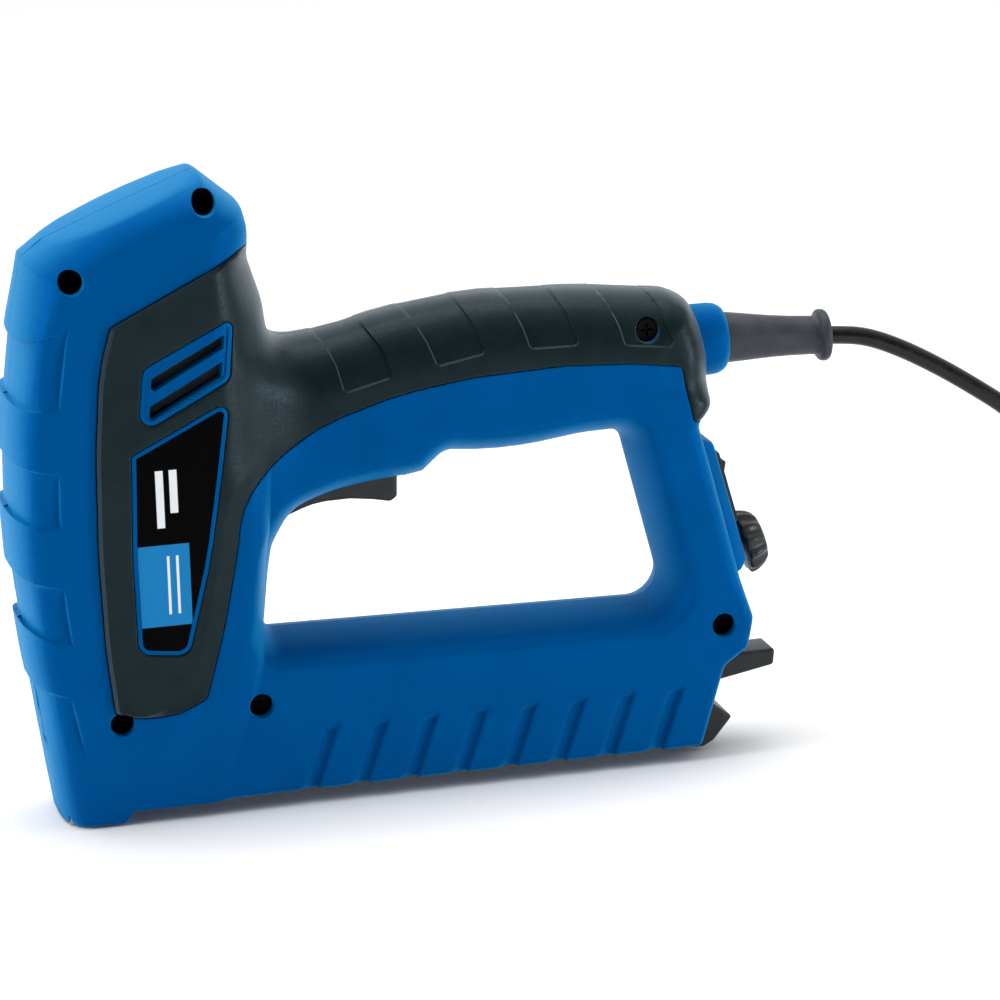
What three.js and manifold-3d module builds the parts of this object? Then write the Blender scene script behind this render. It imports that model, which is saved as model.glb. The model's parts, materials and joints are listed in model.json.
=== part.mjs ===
// Electric stapler, a hand-held mains tacker: a two-half moulded housing with a closed D-shaped handle,
// a solenoid that drives a blade down through the nose, and a staple magazine that draws out at the rear.
// Units are millimetres. X runs rearward, Y to the tool's right and Z up.
// The origin lies under the driver blade, on the plane that the nose presses against the work.

import * as THREE from "three";
import { mergeVertices } from "three/addons/utils/BufferGeometryUtils.js";
import Module from "manifold-3d";

const wasm = await Module();
wasm.setup();

// ---------------------------------------------------------------- driving dimensions

const GAP = 0.3; // running and assembly clearance between neighbouring pieces
const SKIN = 1.9; // depth of the soft overmould
const WALL = 4.2; // outer surface to the inside of the housing, overmould included
const SPLIT = GAP / 2; // each housing half stops this far from the middle plane

const HEAD_HALF = 31; // half width of the head above the shoulder
const NOSE_HALF = 20.5; // half width of the head at the nose
const SHOULDER_Z = 110; // height at which the head reaches its full width
const SHOULDER_LAP = 0.2; // the two lengths of the head are joined over this height
const FRAME_HALF = 20.5; // half width of the lower bar and the rear strut
const HANDLE_HALF = 19;
const HEAD_EDGE = { depth: 7, inset: 7 };
const FRAME_EDGE = { depth: 6, inset: 5 };
const HANDLE_EDGE = { depth: 13, inset: 7 };

const STROKE = 16; // travel of the driver
const SOLENOID_X = 14;
const BLADE_X = 0;
const BASE_Z = 4.5; // underside of the lower bar

const SCREW_RECESS_R = 3.8;
const SCREW_HEAD_R = 3.4;
const SCREW_SHANK_R = 1.6;
const SCREW_BOSS_R = 5.4;
const SCREW_SEAT_Y = -12; // depth at which the screw heads bear
const SCREW_PILOT_Y = 12; // end of the blind hole that takes the point
const HOUSING_SCREWS = [
  [3.8, 171.9],
  [45.7, 192],
  [55.4, 33.5],
  [11.8, 33],
  [183.2, 138.9],
  [203.5, 43.5],
];

const PANEL_CENTRE = new THREE.Vector3(204.05, 0, 80.25); // on the rear face of the strut
const PANEL_LEAN = THREE.MathUtils.degToRad(14); // the face leans forward by this much
const PANEL_HALF = 14;
const DIAL_U = -18.3; // dial centre along the panel, from its middle
const ROCKER_U = 3.2; // rocker pivot along the panel

const TRIGGER_PIVOT = [71, 103.5];
const TRIGGER_HALF = 8;
const SWITCH_X = 93.5; // button of the microswitch above the trigger
const PIN_R = 1.5; // pivot pins of the trigger and the latch
const PIN_HOLE_R = PIN_R + GAP;
const PIN_HOLE_DEPTH = 14; // from the middle plane to the end of the blind holes that hold the pins

const LATCH_PIVOT = [197, 27.6];
const LATCH_HALF = 7;

const CHANNEL_X = 4; // front end of the staple channel
const CHANNEL_HALF = 8; // staple channel, outside
const CHANNEL_TOP = 19.8;
const RAIL_HALF = 4.6; // rail that the staples straddle
const RAIL_TOP = 14.6;
const MAGAZINE_END_X = 191; // where the rail meets its end cap

const END_CAP_HALF = 10;

const BOSS_AXIS_Z = 131; // cord entry
const BOSS_R = 11.4;
const BOSS_END_R = 9.6; // at the rim of its rounded mouth
const SLEEVE_BORE_R = 8.3;
const CORD_R = 2.9;

const NOSE_TOP = 43.5; // top of the nose plate and the blade guide
const NOSE_PLATE_HALF = 14;

// ---------------------------------------------------------------- outlines in the XZ plane
// Each corner is [x, z, radius]; all run counter-clockwise seen from the tool's left (-Y) side.

const HEAD_OUTLINE = [
  [-6.8, 0.5, 2.5],
  [10.5, 0.5, 2],
  [14, BASE_Z, 2],
  [38.5, BASE_Z, 2],
  [45.5, 24, 60],
  [52, 52, 80],
  [56.5, 80, 60],
  [57.5, 100, 30],
  [63, 120, 40],
  [66.6, 142, 30],
  [66.2, 160, 16],
  [62.5, 171, 10],
  [62, 186.3, 3],
  [47.6, 199.2, 3.5],
  [22, 189.7, 200],
  [-0.8, 180.8, 6],
  [-7.4, 175.8, 2],
  [-14.2, 143, 120],
  [-17.8, 108, 120],
  [-17.6, 75, 80],
  [-13.2, 44, 120],
];

const FRAME_OUTLINE = [
  [20, BASE_Z, 0.5],
  [195.4, BASE_Z, 2],
  [203.6, 30, 4],
  [210.4, 35.6, 3],
  [212.6, 44.8, 4],
  [209.6, 57.5, 4],
  [198, 104, 12],
  [193.6, 119, 4],
  [184, 124, 3],
  [172, 116, 3],
  [174.3, 98, 20],
  [178.4, 81, 40],
  [185, 56, 9],
  [57, 56, 8],
  [59.8, 76, 40],
  [66.5, 92.5, 20],
  [78, 101, 3],
  [72, 118, 3],
  [20, 118, 0.5],
];

const HANDLE_OUTLINE = [
  [48, 80, 1],
  [60.5, 80, 6],
  [66, 94.5, 16],
  [82, 100.5, 20],
  [107.5, 101.3, 3],
  [113.5, 107.6, 7],
  [133, 106.6, 80],
  [152, 108, 80],
  [169, 110.4, 8],
  [173.6, 104, 12],
  [178, 86, 3],
  [190, 86, 3],
  [198, 103, 6],
  [194.4, 116.5, 3],
  [201.8, 121.2, 6],
  [204.8, 130.6, 8],
  [198.6, 146.2, 8],
  [190.5, 150.8, 8],
  [150, 153.7, 80],
  [129, 155.6, 60],
  [104, 151, 60],
  [81, 144.7, 14],
  [70.5, 145.4, 7],
  [66, 152, 8],
  [60, 158, 3],
  [48, 158, 1],
];

// The soft overmould: a panel on the head that runs back over the top of the handle.
const GRIP_OUTLINE = [
  [10, 35.8, 3],
  [20.5, 34.2, 16],
  [29.5, 34.8, 10],
  [38, 38.6, 3.5],
  [44.3, 60.5, 90],
  [49.2, 84, 80],
  [51.8, 101, 20],
  [65.6, 112, 20],
  [81, 120.4, 40],
  [104, 127, 60],
  [141, 131.9, 150],
  [179, 129.6, 60],
  [193.4, 127.2, 2],
  [194.6, 119, 6],
  [197, 107, 1],
  [214, 107, 1],
  [214, 165, 1],
  [74, 165, 1],
  [70, 176.5, 1],
  [56.5, 176.5, 8],
  [14.7, 157.3, 2],
  [10.6, 144, 40],
  [8, 118, 90],
  [7.2, 88, 90],
  [7.9, 58, 90],
];

const VENT_OUTLINE = [
  [21.2, 126, 2],
  [50.2, 140.1, 2],
  [51.9, 157.6, 2],
  [23.2, 145, 2],
];

const LABEL_OUTLINE = [
  [17.2, 55.2, 3.5],
  [32.8, 53.6, 3.5],
  [41.2, 83.5, 90],
  [49.6, 133.2, 2.5],
  [18.2, 118.4, 1],
  [16.8, 86, 90],
];

const LABEL_RIM = 1.5; // width of the blue rim round the label
const VENT_FLOOR = 1; // depth of the vent window's floor
const LABEL_SEAT = 1.6; // depth of the seat under the label
const LABEL_SHEET = [0.3, 1.3]; // depths of the label's face and back
const MERGE = 1e-4; // points closer than this are one point
const SLIVER = 0.04; // detail smaller than this is left out of a cut result
const BIG = 400; // far beyond every piece, for half spaces and through cuts

// ---------------------------------------------------------------- shape helpers

// Points around an outline whose sides are all moved inwards by `inset` and whose corners are arcs.
function roundedPoints(corners, inset = 0, arcStep = 0.5) {
  const count = corners.length;
  const sides = corners.map(([x, z], i) => {
    const [nextX, nextZ] = corners[(i + 1) % count];
    const length = Math.hypot(nextX - x, nextZ - z);
    const along = [(nextX - x) / length, (nextZ - z) / length];
    return { along, from: [x - along[1] * inset, z + along[0] * inset] };
  });
  const points = [];
  for (let i = 0; i < count; i++) {
    const before = sides[(i + count - 1) % count];
    const after = sides[i];
    const turn = Math.atan2(
      before.along[0] * after.along[1] - before.along[1] * after.along[0],
      before.along[0] * after.along[0] + before.along[1] * after.along[1],
    );
    const gapX = after.from[0] - before.from[0];
    const gapZ = after.from[1] - before.from[1];
    const reach = (gapX * after.along[1] - gapZ * after.along[0]) / Math.sin(turn);
    const corner = [before.from[0] + before.along[0] * reach, before.from[1] + before.along[1] * reach];
    const radius = Math.max(0.05, corners[i][2] - Math.sign(turn) * inset);
    const tangent = radius * Math.tan(Math.abs(turn) / 2);
    const start = [corner[0] - before.along[0] * tangent, corner[1] - before.along[1] * tangent];
    const steps = Math.max(1, Math.ceil(Math.abs(turn) / arcStep));
    const side = Math.sign(turn);
    const centre = [start[0] - before.along[1] * radius * side, start[1] + before.along[0] * radius * side];
    const first = Math.atan2(start[1] - centre[1], start[0] - centre[0]);
    for (let k = 0; k <= steps; k++) {
      const angle = first + (turn * k) / steps;
      points.push([centre[0] + radius * Math.cos(angle), centre[1] + radius * Math.sin(angle)]);
    }
  }
  return points;
}

// A solid through rings of equal point counts, closed at both ends; each ring is a list of [x, y, z].
function loft(rings, capFaces) {
  const size = rings[0].length;
  const last = (rings.length - 1) * size;
  const index = [];
  for (let k = 0; k + 1 < rings.length; k++) {
    for (let j = 0; j < size; j++) {
      const a = k * size + j;
      const b = k * size + ((j + 1) % size);
      index.push(a, b, b + size, a, b + size, a + size);
    }
  }
  for (const [a, b, c] of capFaces) index.push(a, c, b, last + a, last + b, last + c);
  const geometry = new THREE.BufferGeometry();
  geometry.setAttribute("position", new THREE.Float32BufferAttribute(rings.flat(2), 3));
  geometry.setIndex(index);
  return geometry;
}

function capOf(points) {
  const contour = points.map(([x, z]) => new THREE.Vector2(x, z));
  const faces = THREE.ShapeUtils.triangulateShape(contour, []);
  return faces.map(([a, b, c]) => {
    const area =
      (contour[b].x - contour[a].x) * (contour[c].y - contour[a].y) -
      (contour[c].x - contour[a].x) * (contour[b].y - contour[a].y);
    return area > 0 ? [a, b, c] : [a, c, b];
  });
}

// A slab on both sides of the middle plane. Its half width may vary with height, and its two outer
// edges are rounded over a depth across the slab and an inset along it.
function roundedSlab(corners, halfWidthAt, edge, inset = 0, steps = 2) {
  const rings = [];
  const depth = Math.max(0.6, edge.depth - inset);
  const reach = Math.max(0.6, edge.inset - inset);
  for (const side of [1, -1]) {
    const half = [];
    for (let i = 0; i <= steps; i++) {
      const angle = (i / steps) * (Math.PI / 2);
      const drop = depth * (1 - Math.sin(angle)) + inset;
      const points = roundedPoints(corners, inset + reach * (1 - Math.cos(angle)));
      half.push(points.map(([x, z]) => [x, side * (halfWidthAt(z) - drop), z]));
    }
    rings.push(...(side > 0 ? half.reverse() : half));
  }
  const flat = rings[0].map(([x, , z]) => [x, z]);
  return solid(loft(rings, capOf(flat)));
}

// A straight prism across the tool from y = low to y = high.
function prism(corners, low, high, inset = 0, arcStep = 0.5) {
  const points = roundedPoints(corners, inset, arcStep);
  const rings = [high, low].map((y) => points.map(([x, z]) => [x, y, z]));
  return solid(loft(rings, capOf(points)));
}

function solid(geometry) {
  const bare = geometry.clone();
  bare.deleteAttribute("normal");
  bare.deleteAttribute("uv");
  const merged = mergeVertices(bare, MERGE);
  return new wasm.Manifold(
    new wasm.Mesh({
      numProp: 3,
      vertProperties: merged.getAttribute("position").array,
      triVerts: new Uint32Array(merged.index.array),
    }),
  );
}

function join(...solids) {
  return solids.reduce((whole, next) => whole.add(next));
}

function cut(body, ...tools) {
  return tools.reduce((rest, tool) => rest.subtract(tool), body);
}

function box(low, high) {
  const size = high.map((value, i) => value - low[i]);
  const middle = high.map((value, i) => (value + low[i]) / 2);
  return solid(new THREE.BoxGeometry(...size).translate(...middle));
}

// A box that is as wide to the left as to the right.
function slabBox(lowX, highX, half, lowZ, highZ) {
  return box([lowX, -half, lowZ], [highX, half, highZ]);
}

const UP = new THREE.Vector3(0, 1, 0);

// Everything on one side of the middle plane, from a distance outwards.
function halfSpace(side, from) {
  return side < 0 ? box([-BIG, -BIG, -BIG], [BIG, -from, BIG]) : box([-BIG, from, -BIG], [BIG, BIG, BIG]);
}

// A box on one side of the middle plane, from y = near to y = far on that side.
function sideBox(side, [lowX, highX], [near, far], [lowZ, highZ]) {
  const [lowY, highY] = side > 0 ? [near, far] : [-far, -near];
  return box([lowX, lowY, lowZ], [highX, highY, highZ]);
}

// A rod along Y, through the point [x, z] of the side view.
function crossRod([x, z], nearY, farY, radius, segments) {
  return rod([x, nearY, z], [x, farY, z], radius, segments);
}

// A round rod, or a cone, from one point to another.
function rod(from, to, radius, segments = 20, endRadius = radius) {
  const start = new THREE.Vector3(...from);
  const end = new THREE.Vector3(...to);
  const direction = end.clone().sub(start);
  const geometry = new THREE.CylinderGeometry(endRadius, radius, direction.length(), segments);
  const turn = new THREE.Quaternion().setFromUnitVectors(UP, direction.clone().normalize());
  geometry.applyQuaternion(turn);
  const middle = start.add(end).multiplyScalar(0.5);
  return solid(geometry.translate(middle.x, middle.y, middle.z));
}

// A body of revolution about a vertical axis at (x, 0); the profile is [radius, z] from axis to axis.
function turned(profile, x, segments = 22) {
  const points = profile.map(([radius, z]) => new THREE.Vector2(radius, z));
  const geometry = new THREE.LatheGeometry(points, segments).rotateX(Math.PI / 2);
  return solid(geometry.translate(x, 0, 0));
}

// A coil spring of round wire along one axis, drawn as an extrusion along a helix.
function coilSpring(from, to, radius, wire, turns, stepsPerTurn = 8) {
  const start = new THREE.Vector3(...from);
  const axis = new THREE.Vector3(...to).sub(start);
  const turn = new THREE.Quaternion().setFromUnitVectors(UP, axis.clone().normalize());
  const points = [];
  const count = Math.round(turns * stepsPerTurn);
  for (let i = 0; i <= count; i++) {
    const angle = (i / stepsPerTurn) * Math.PI * 2;
    const rise = wire + (axis.length() - 2 * wire) * (i / count);
    points.push(
      new THREE.Vector3(radius * Math.cos(angle), rise, radius * Math.sin(angle))
        .applyQuaternion(turn)
        .add(start),
    );
  }
  return sweep(points, wire, count, 4);
}

// A round bar along a smooth path.
function sweep(points, radius, steps, sides = 8) {
  const section = new THREE.Shape();
  for (let i = 0; i < sides; i++) {
    const angle = (i / sides) * Math.PI * 2;
    const place = [radius * Math.cos(angle), radius * Math.sin(angle)];
    if (i === 0) section.moveTo(...place);
    else section.lineTo(...place);
  }
  section.closePath();
  const path = new THREE.CatmullRomCurve3(points, false, "centripetal");
  return new THREE.ExtrudeGeometry(section, { steps, bevelEnabled: false, extrudePath: path });
}

function geometryOf(manifold) {
  const mesh = manifold.simplify(SLIVER).getMesh();
  const geometry = new THREE.BufferGeometry();
  const stride = mesh.numProp;
  const places = new Float32Array((mesh.vertProperties.length / stride) * 3);
  for (let i = 0; i < places.length / 3; i++) {
    places.set(mesh.vertProperties.subarray(i * stride, i * stride + 3), i * 3);
  }
  geometry.setAttribute("position", new THREE.BufferAttribute(places, 3));
  geometry.setIndex(new THREE.BufferAttribute(new Uint32Array(mesh.triVerts), 1));
  const flat = geometry.toNonIndexed();
  flat.computeVertexNormals();
  return flat;
}

// ---------------------------------------------------------------- materials

function finish(color, roughness, metalness = 0) {
  return new THREE.MeshStandardMaterial({ color, roughness, metalness });
}

const FINISH = {
  blue: () => finish(0x0b5aa6, 0.45),
  grip: () => finish(0x3a3f42, 0.75),
  label: () => finish(0x0a0b0c, 0.2),
  black: () => finish(0x1d2022, 0.5),
  steel: () => finish(0xb4b8bb, 0.35, 1),
  darkSteel: () => finish(0x5c6064, 0.4, 1),
  copper: () => finish(0xa8572a, 0.4, 0.9),
  nylon: () => finish(0xd8d4c6, 0.5),
  rubber: () => finish(0x17181a, 0.8),
  cord: () => finish(0x101113, 0.35),
  board: () => finish(0x1f5a34, 0.5),
  aluminium: () => finish(0xc2c5c8, 0.35, 1),
  brownWire: () => finish(0x5a3420, 0.5),
  blueWire: () => finish(0x2a5fb0, 0.5),
};

const stapler = new THREE.Group();

function piece(name, shape, material, parent = stapler) {
  const geometry = shape.isBufferGeometry ? shape : geometryOf(shape);
  const mesh = new THREE.Mesh(geometry, material());
  mesh.name = name;
  parent.add(mesh);
  return mesh;
}

// ---------------------------------------------------------------- outer form of the housing

function headSolid(inset) {
  const taper = (HEAD_HALF - NOSE_HALF) / SHOULDER_Z;
  const lower = roundedSlab(HEAD_OUTLINE, (z) => NOSE_HALF + taper * z, HEAD_EDGE, inset);
  const upper = roundedSlab(HEAD_OUTLINE, () => HEAD_HALF, HEAD_EDGE, inset);
  const below = slabBox(-BIG, BIG, BIG, -BIG, SHOULDER_Z);
  const above = slabBox(-BIG, BIG, BIG, SHOULDER_Z - SHOULDER_LAP, BIG);
  return lower.intersect(below).add(upper.intersect(above));
}

function housingForm(inset) {
  return join(
    headSolid(inset),
    roundedSlab(FRAME_OUTLINE, () => FRAME_HALF, FRAME_EDGE, inset),
    roundedSlab(HANDLE_OUTLINE, () => HANDLE_HALF, HANDLE_EDGE, inset),
  );
}

const outside = housingForm(0);
const beyond = housingForm(-1.5); // stands proud all round, so that what it cuts leaves no skin behind
const underSkin = housingForm(SKIN);
const pocketFloor = housingForm(SKIN + GAP);
const inside = housingForm(WALL);

// Boss that the cord sleeve passes through, at the rear of the handle: root, shoulder and mouth.
const BOSS_X = [198, 208.6, 211.3];
const cordBoss = join(
  rod([BOSS_X[0], 0, BOSS_AXIS_Z], [BOSS_X[1], 0, BOSS_AXIS_Z], BOSS_R, 26),
  rod([BOSS_X[1], 0, BOSS_AXIS_Z], [BOSS_X[2], 0, BOSS_AXIS_Z], BOSS_R, 26, BOSS_END_R),
);

// ---------------------------------------------------------------- control panel frame

const panelGroup = new THREE.Group();
panelGroup.position.copy(PANEL_CENTRE);
panelGroup.rotation.y = -PANEL_LEAN;
panelGroup.updateMatrix();
stapler.add(panelGroup);

// A solid given in the panel's own frame (X outwards, Z up the panel), moved to the tool's frame.
function atPanel(shape) {
  return solid(geometryOf(shape).applyMatrix4(panelGroup.matrix));
}

const PANEL_OUTLINE = [
  [-5, -22.6, 0.3],
  [2.8, -23.6, 1],
  [5.2, -21, 1.2],
  [5.2, 19.4, 1.2],
  [2.4, 22.6, 2],
  [-5, 22.2, 0.3],
];

// ---------------------------------------------------------------- housing halves

function screwPosts(side) {
  const posts = HOUSING_SCREWS.map((place) =>
    crossRod(place, side * SPLIT, side * (HEAD_HALF + 1), SCREW_BOSS_R, 12),
  );
  return join(...posts).intersect(pocketFloor);
}

function screwHoles(side) {
  const holes = HOUSING_SCREWS.map((place) => {
    if (side > 0) return crossRod(place, -1, SCREW_PILOT_Y, SCREW_SHANK_R + GAP, 8);
    const shank = crossRod(place, 1, SCREW_SEAT_Y, SCREW_SHANK_R + GAP, 8);
    const recess = crossRod(place, SCREW_SEAT_Y, -HEAD_HALF - 2, SCREW_RECESS_R, 14);
    return join(shank, recess);
  });
  return join(...holes);
}

// Shelves under and over the solenoid yoke, and the shelf that the upper bumper bears on: X, Y and Z spans.
const INNER_SHELVES = [
  [[-12, 38], [14.2, 29], [76.8, 79.6]],
  [[-12, 38], [14.2, 29], [138.4, 140.8]],
  [[12, 28], [SPLIT, 28], [170.4, 172.6]],
];
const PIN_BOSS_GAP = 0.8; // from the trigger or the latch to the bosses on each side of it

// Shelves and bosses that stand on the inside of a half and carry the works.
function innerRibs(side) {
  const ribs = join(
    ...INNER_SHELVES.map((spans) => sideBox(side, ...spans)),
    crossRod(TRIGGER_PIVOT, side * (TRIGGER_HALF + PIN_BOSS_GAP), side * 17, 3.4, 14),
    crossRod(LATCH_PIVOT, side * (LATCH_HALF + PIN_BOSS_GAP), side * 18, 3.2, 14),
  );
  return ribs.intersect(pocketFloor);
}

const labelInner = (grow) => prism(LABEL_OUTLINE, -BIG, BIG, LABEL_RIM - grow);
const gripPrism = (grow) => prism(GRIP_OUTLINE, -BIG, BIG, -grow);
const labelPrism = (grow) => prism(LABEL_OUTLINE, -BIG, BIG, -grow);
const ventPrism = (grow) => prism(VENT_OUTLINE, -BIG, BIG, -grow);

// Two slots that run parallel to the long sides of the vent window.
function ventSlots() {
  const slots = [0, 1].map((row) => {
    const lift = row * 9;
    const slot = [
      [24.9 + row * 1.4, 128.6 + lift, 1],
      [47.4 + row * 0.6, 140.6 + lift, 1],
      [48 + row * 0.8, 144.6 + lift, 1],
      [25 + row * 1.2, 132.8 + lift, 1],
    ];
    return prism(slot, -BIG, BIG);
  });
  return join(...slots);
}

const solenoidRoom = slabBox(-7, 33, 23.4, 79.6, 138.4);
const latchSweep = slabBox(184, BIG, LATCH_HALF + 2 * GAP, 18, 34.4);
const magazineRoom = slabBox(CHANNEL_X - GAP, BIG, CHANNEL_HALF + 0.4, -5, CHANNEL_TOP + 0.4);
const endCapRoom = slabBox(MAGAZINE_END_X - 1, BIG, END_CAP_HALF + 2 * GAP, -5, 20.4);
const noseRoom = slabBox(-5.4, CHANNEL_X, NOSE_PLATE_HALF + 0.4, -5, 46);
const triggerRoom = slabBox(64, 106.2, TRIGGER_HALF + GAP, 84, 116);

const panelRoom = atPanel(prism(PANEL_OUTLINE, -PANEL_HALF - GAP, PANEL_HALF + GAP, -GAP));
const sleeveBore = join(
  rod([184, 0, BOSS_AXIS_Z], [220, 0, BOSS_AXIS_Z], SLEEVE_BORE_R, 20),
  rod([199.7, 0, BOSS_AXIS_Z], [204.3, 0, BOSS_AXIS_Z], 10, 20),
);

function housingHalf(side) {
  const softPocket = beyond.subtract(pocketFloor).intersect(gripPrism(GAP));
  const blueWindows = join(labelPrism(-GAP), ventPrism(-GAP));
  const ventFloorCut = beyond.subtract(housingForm(VENT_FLOOR)).intersect(ventPrism(1));
  const labelSeat = beyond.subtract(housingForm(LABEL_SEAT)).intersect(labelInner(GAP));
  const skin = cut(
    outside.add(cordBoss),
    softPocket.subtract(blueWindows).subtract(cordBoss),
    ventFloorCut,
    labelSeat,
    inside.subtract(cordBoss),
  );
  return cut(
    join(skin, screwPosts(side), innerRibs(side)).intersect(halfSpace(side, SPLIT)),
    screwHoles(side),
    ventSlots(),
    solenoidRoom,
    latchSweep,
    magazineRoom,
    endCapRoom,
    noseRoom,
    triggerRoom,
    panelRoom,
    sleeveBore,
    crossRod(TRIGGER_PIVOT, -PIN_HOLE_DEPTH, PIN_HOLE_DEPTH, PIN_HOLE_R, 12),
    crossRod(LATCH_PIVOT, -PIN_HOLE_DEPTH, PIN_HOLE_DEPTH, PIN_HOLE_R, 12),
  );
}

// The largest body of a cut result; slivers that a cut leaves loose are dropped.
function mainBody(shape) {
  const bodies = shape.decompose();
  return bodies.reduce((best, next) => (next.volume() > best.volume() ? next : best));
}

function grip(side) {
  const skin = outside.subtract(underSkin).intersect(gripPrism(0)).intersect(halfSpace(side, SPLIT));
  const clearBoss = rod([190, 0, BOSS_AXIS_Z], [220, 0, BOSS_AXIS_Z], BOSS_R + GAP, 26);
  return mainBody(cut(skin, labelPrism(0), ventPrism(0), clearBoss, panelRoom, screwHoles(side)));
}

function labelPlate(side) {
  const [face, back] = LABEL_SHEET.map(housingForm);
  return mainBody(face.subtract(back).intersect(labelInner(0)).intersect(halfSpace(side, 0)));
}

for (const [name, side] of [["left", -1], ["right", 1]]) {
  piece(`${name}_shell`, mainBody(housingHalf(side)), FINISH.blue);
  piece(`${name}_grip`, grip(side), FINISH.grip);
  piece(`${name}_label`, labelPlate(side), FINISH.label);
}

// ---------------------------------------------------------------- housing screws

const SCREW_LENGTH = 21;
const SCREW_HEAD_HIGH = 2.9;
const CROSS = { reach: 2, half: 0.4, floor: 1.7 }; // recess in a screw's head

// Pan-head screw along +Y; its head bears at y = 0 of its own frame.
function housingScrew() {
  const { reach, half, floor } = CROSS;
  const shank = rod([0, -2 * GAP, 0], [0, SCREW_LENGTH, 0], SCREW_SHANK_R, 8);
  const head = rod([0, -SCREW_HEAD_HIGH, 0], [0, -GAP, 0], SCREW_HEAD_R, 14);
  const crossOne = box([-reach, -4, -half], [reach, -floor, half]);
  const crossTwo = box([-half, -4, -reach], [half, -floor, reach]);
  return cut(join(shank, head), crossOne, crossTwo);
}

HOUSING_SCREWS.forEach(([x, z], i) => {
  piece(`housing_screw_${i + 1}`, housingScrew(), FINISH.darkSteel).position.set(x, SCREW_SEAT_Y, z);
});

// ---------------------------------------------------------------- control panel, rocker and dial

const PANEL_WALL = 2.2; // thickness of the panel's side walls
const DIAL_SHAFT_R = 2.8;
const SWITCH_CASE = { half: 7, reach: 9.7 }; // case of the rocker switch: half width, half height
const SWITCH_LIP = { half: 8.6, reach: 11.6, from: 5.6, to: 6.6 };
const SWITCH_MOUTH = { half: 6, reach: 8.9 };

// A box that is centred on the rocker pivot.
function aboutRocker(low, high, { half, reach }) {
  return slabBox(low, high, half, ROCKER_U - reach, ROCKER_U + reach);
}

const panelPlate = cut(
  prism(PANEL_OUTLINE, -PANEL_HALF, PANEL_HALF),
  slabBox(-6, 2.8, PANEL_HALF - PANEL_WALL, -21.4, 20),
  aboutRocker(-6, 8, { half: SWITCH_CASE.half + 0.4, reach: SWITCH_CASE.reach + 0.4 }),
  rod([-6, 0, DIAL_U], [8, 0, DIAL_U], DIAL_SHAFT_R + 0.5, 16),
);
piece("control_panel", panelPlate, FINISH.blue, panelGroup);

const switchBody = cut(
  join(
    aboutRocker(-13, SWITCH_LIP.from, SWITCH_CASE),
    aboutRocker(SWITCH_LIP.from, SWITCH_LIP.to, SWITCH_LIP),
  ),
  aboutRocker(-4, 8, SWITCH_MOUTH),
);
piece("rocker_switch_body", switchBody, FINISH.black, panelGroup);

const ROCKER_OUTLINE = [
  [-0.6, -3, 2],
  [4.6, -7.6, 0.6],
  [6.4, -7.6, 0.5],
  [5.4, 0, 14],
  [8.9, 7.6, 0.5],
  [7.2, 7.6, 0.6],
  [-0.6, 3, 2],
];
const ROCKER_HALF = 5.6;
const rockerSolid = prism(ROCKER_OUTLINE, -ROCKER_HALF, ROCKER_HALF);
piece("power_rocker", rockerSolid, FINISH.black, panelGroup).position.z = ROCKER_U;

// Knob turned about the panel's normal, with finger lobes round its rim.
function dialKnob() {
  const lobes = 12;
  // Distance out from the panel, radius over the lobes, and depth between them.
  const levels = [
    [7, 9.2, 0.5],
    [7.8, 10.1, 0.7],
    [10.4, 9.6, 0.8],
    [12.8, 8.3, 0.6],
    [13.8, 6.4, 0],
  ];
  const steps = lobes * 3;
  const rings = levels.map(([out, radius, wave]) => {
    const ring = [];
    for (let i = 0; i < steps; i++) {
      const angle = (i / steps) * Math.PI * 2;
      const reach = radius - wave * (0.5 - 0.5 * Math.cos(lobes * angle));
      ring.push([out, reach * Math.cos(angle), reach * Math.sin(angle)]);
    }
    return ring;
  });
  const flat = rings[0].map(([, y, z]) => [y, z]);
  const knob = solid(loft(rings, capOf(flat)));
  return knob.subtract(rod([6, 0, 0], [11.6, 0, 0], DIAL_SHAFT_R + GAP, 16));
}

const dialGroup = new THREE.Group();
dialGroup.position.z = DIAL_U;
panelGroup.add(dialGroup);
piece("power_dial", dialKnob(), FINISH.black, dialGroup);
piece("dial_shaft", rod([-7.6, 0, 0], [11.3, 0, 0], DIAL_SHAFT_R, 16), FINISH.steel, dialGroup);
const potBody = rod([-15, 0, 0], [-5.6, 0, 0], 8, 24).subtract(rod([-8, 0, 0], [0, 0, 0], 3.2, 16));
piece("potentiometer", potBody, FINISH.darkSteel, dialGroup);

// ---------------------------------------------------------------- cord, sleeve and clamp

const SLEEVE_SPINE = [
  [196, BOSS_AXIS_Z],
  [246, BOSS_AXIS_Z - 2.4],
];

// Moulded sleeve that stops the cord kinking: a neck, a tapered tail and an end flange.
function cordSleeve() {
  const straight = 16; // length before the tail starts to droop
  const droopShare = 1.4; // the tail droops by this share of the spine's mean slope
  // Distance along the sleeve, and radius.
  const profile = [
    [0, 7.6],
    [3.9, 7.6],
    [4, 9.4],
    [8, 9.4],
    [8.1, 7.9],
    [16, 8],
    [34, 6.6],
    [45.4, 6],
    [46.4, 8.2],
    [49, 8.2],
    [49.6, 7.4],
  ];
  const [start, end] = SLEEVE_SPINE;
  const slope = (end[1] - start[1]) / (end[0] - start[0]);
  const sides = 18;
  const rings = profile.map(([along, radius]) => {
    const droop = Math.max(0, along - straight) * slope * droopShare;
    const ring = [];
    for (let i = 0; i < sides; i++) {
      const angle = (i / sides) * Math.PI * 2;
      ring.push([start[0] + along, radius * Math.cos(angle), start[1] + droop + radius * Math.sin(angle)]);
    }
    return ring;
  });
  const flat = rings[0].map(([, y, z]) => [y, z]);
  return solid(loft(rings, capOf(flat)));
}

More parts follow.
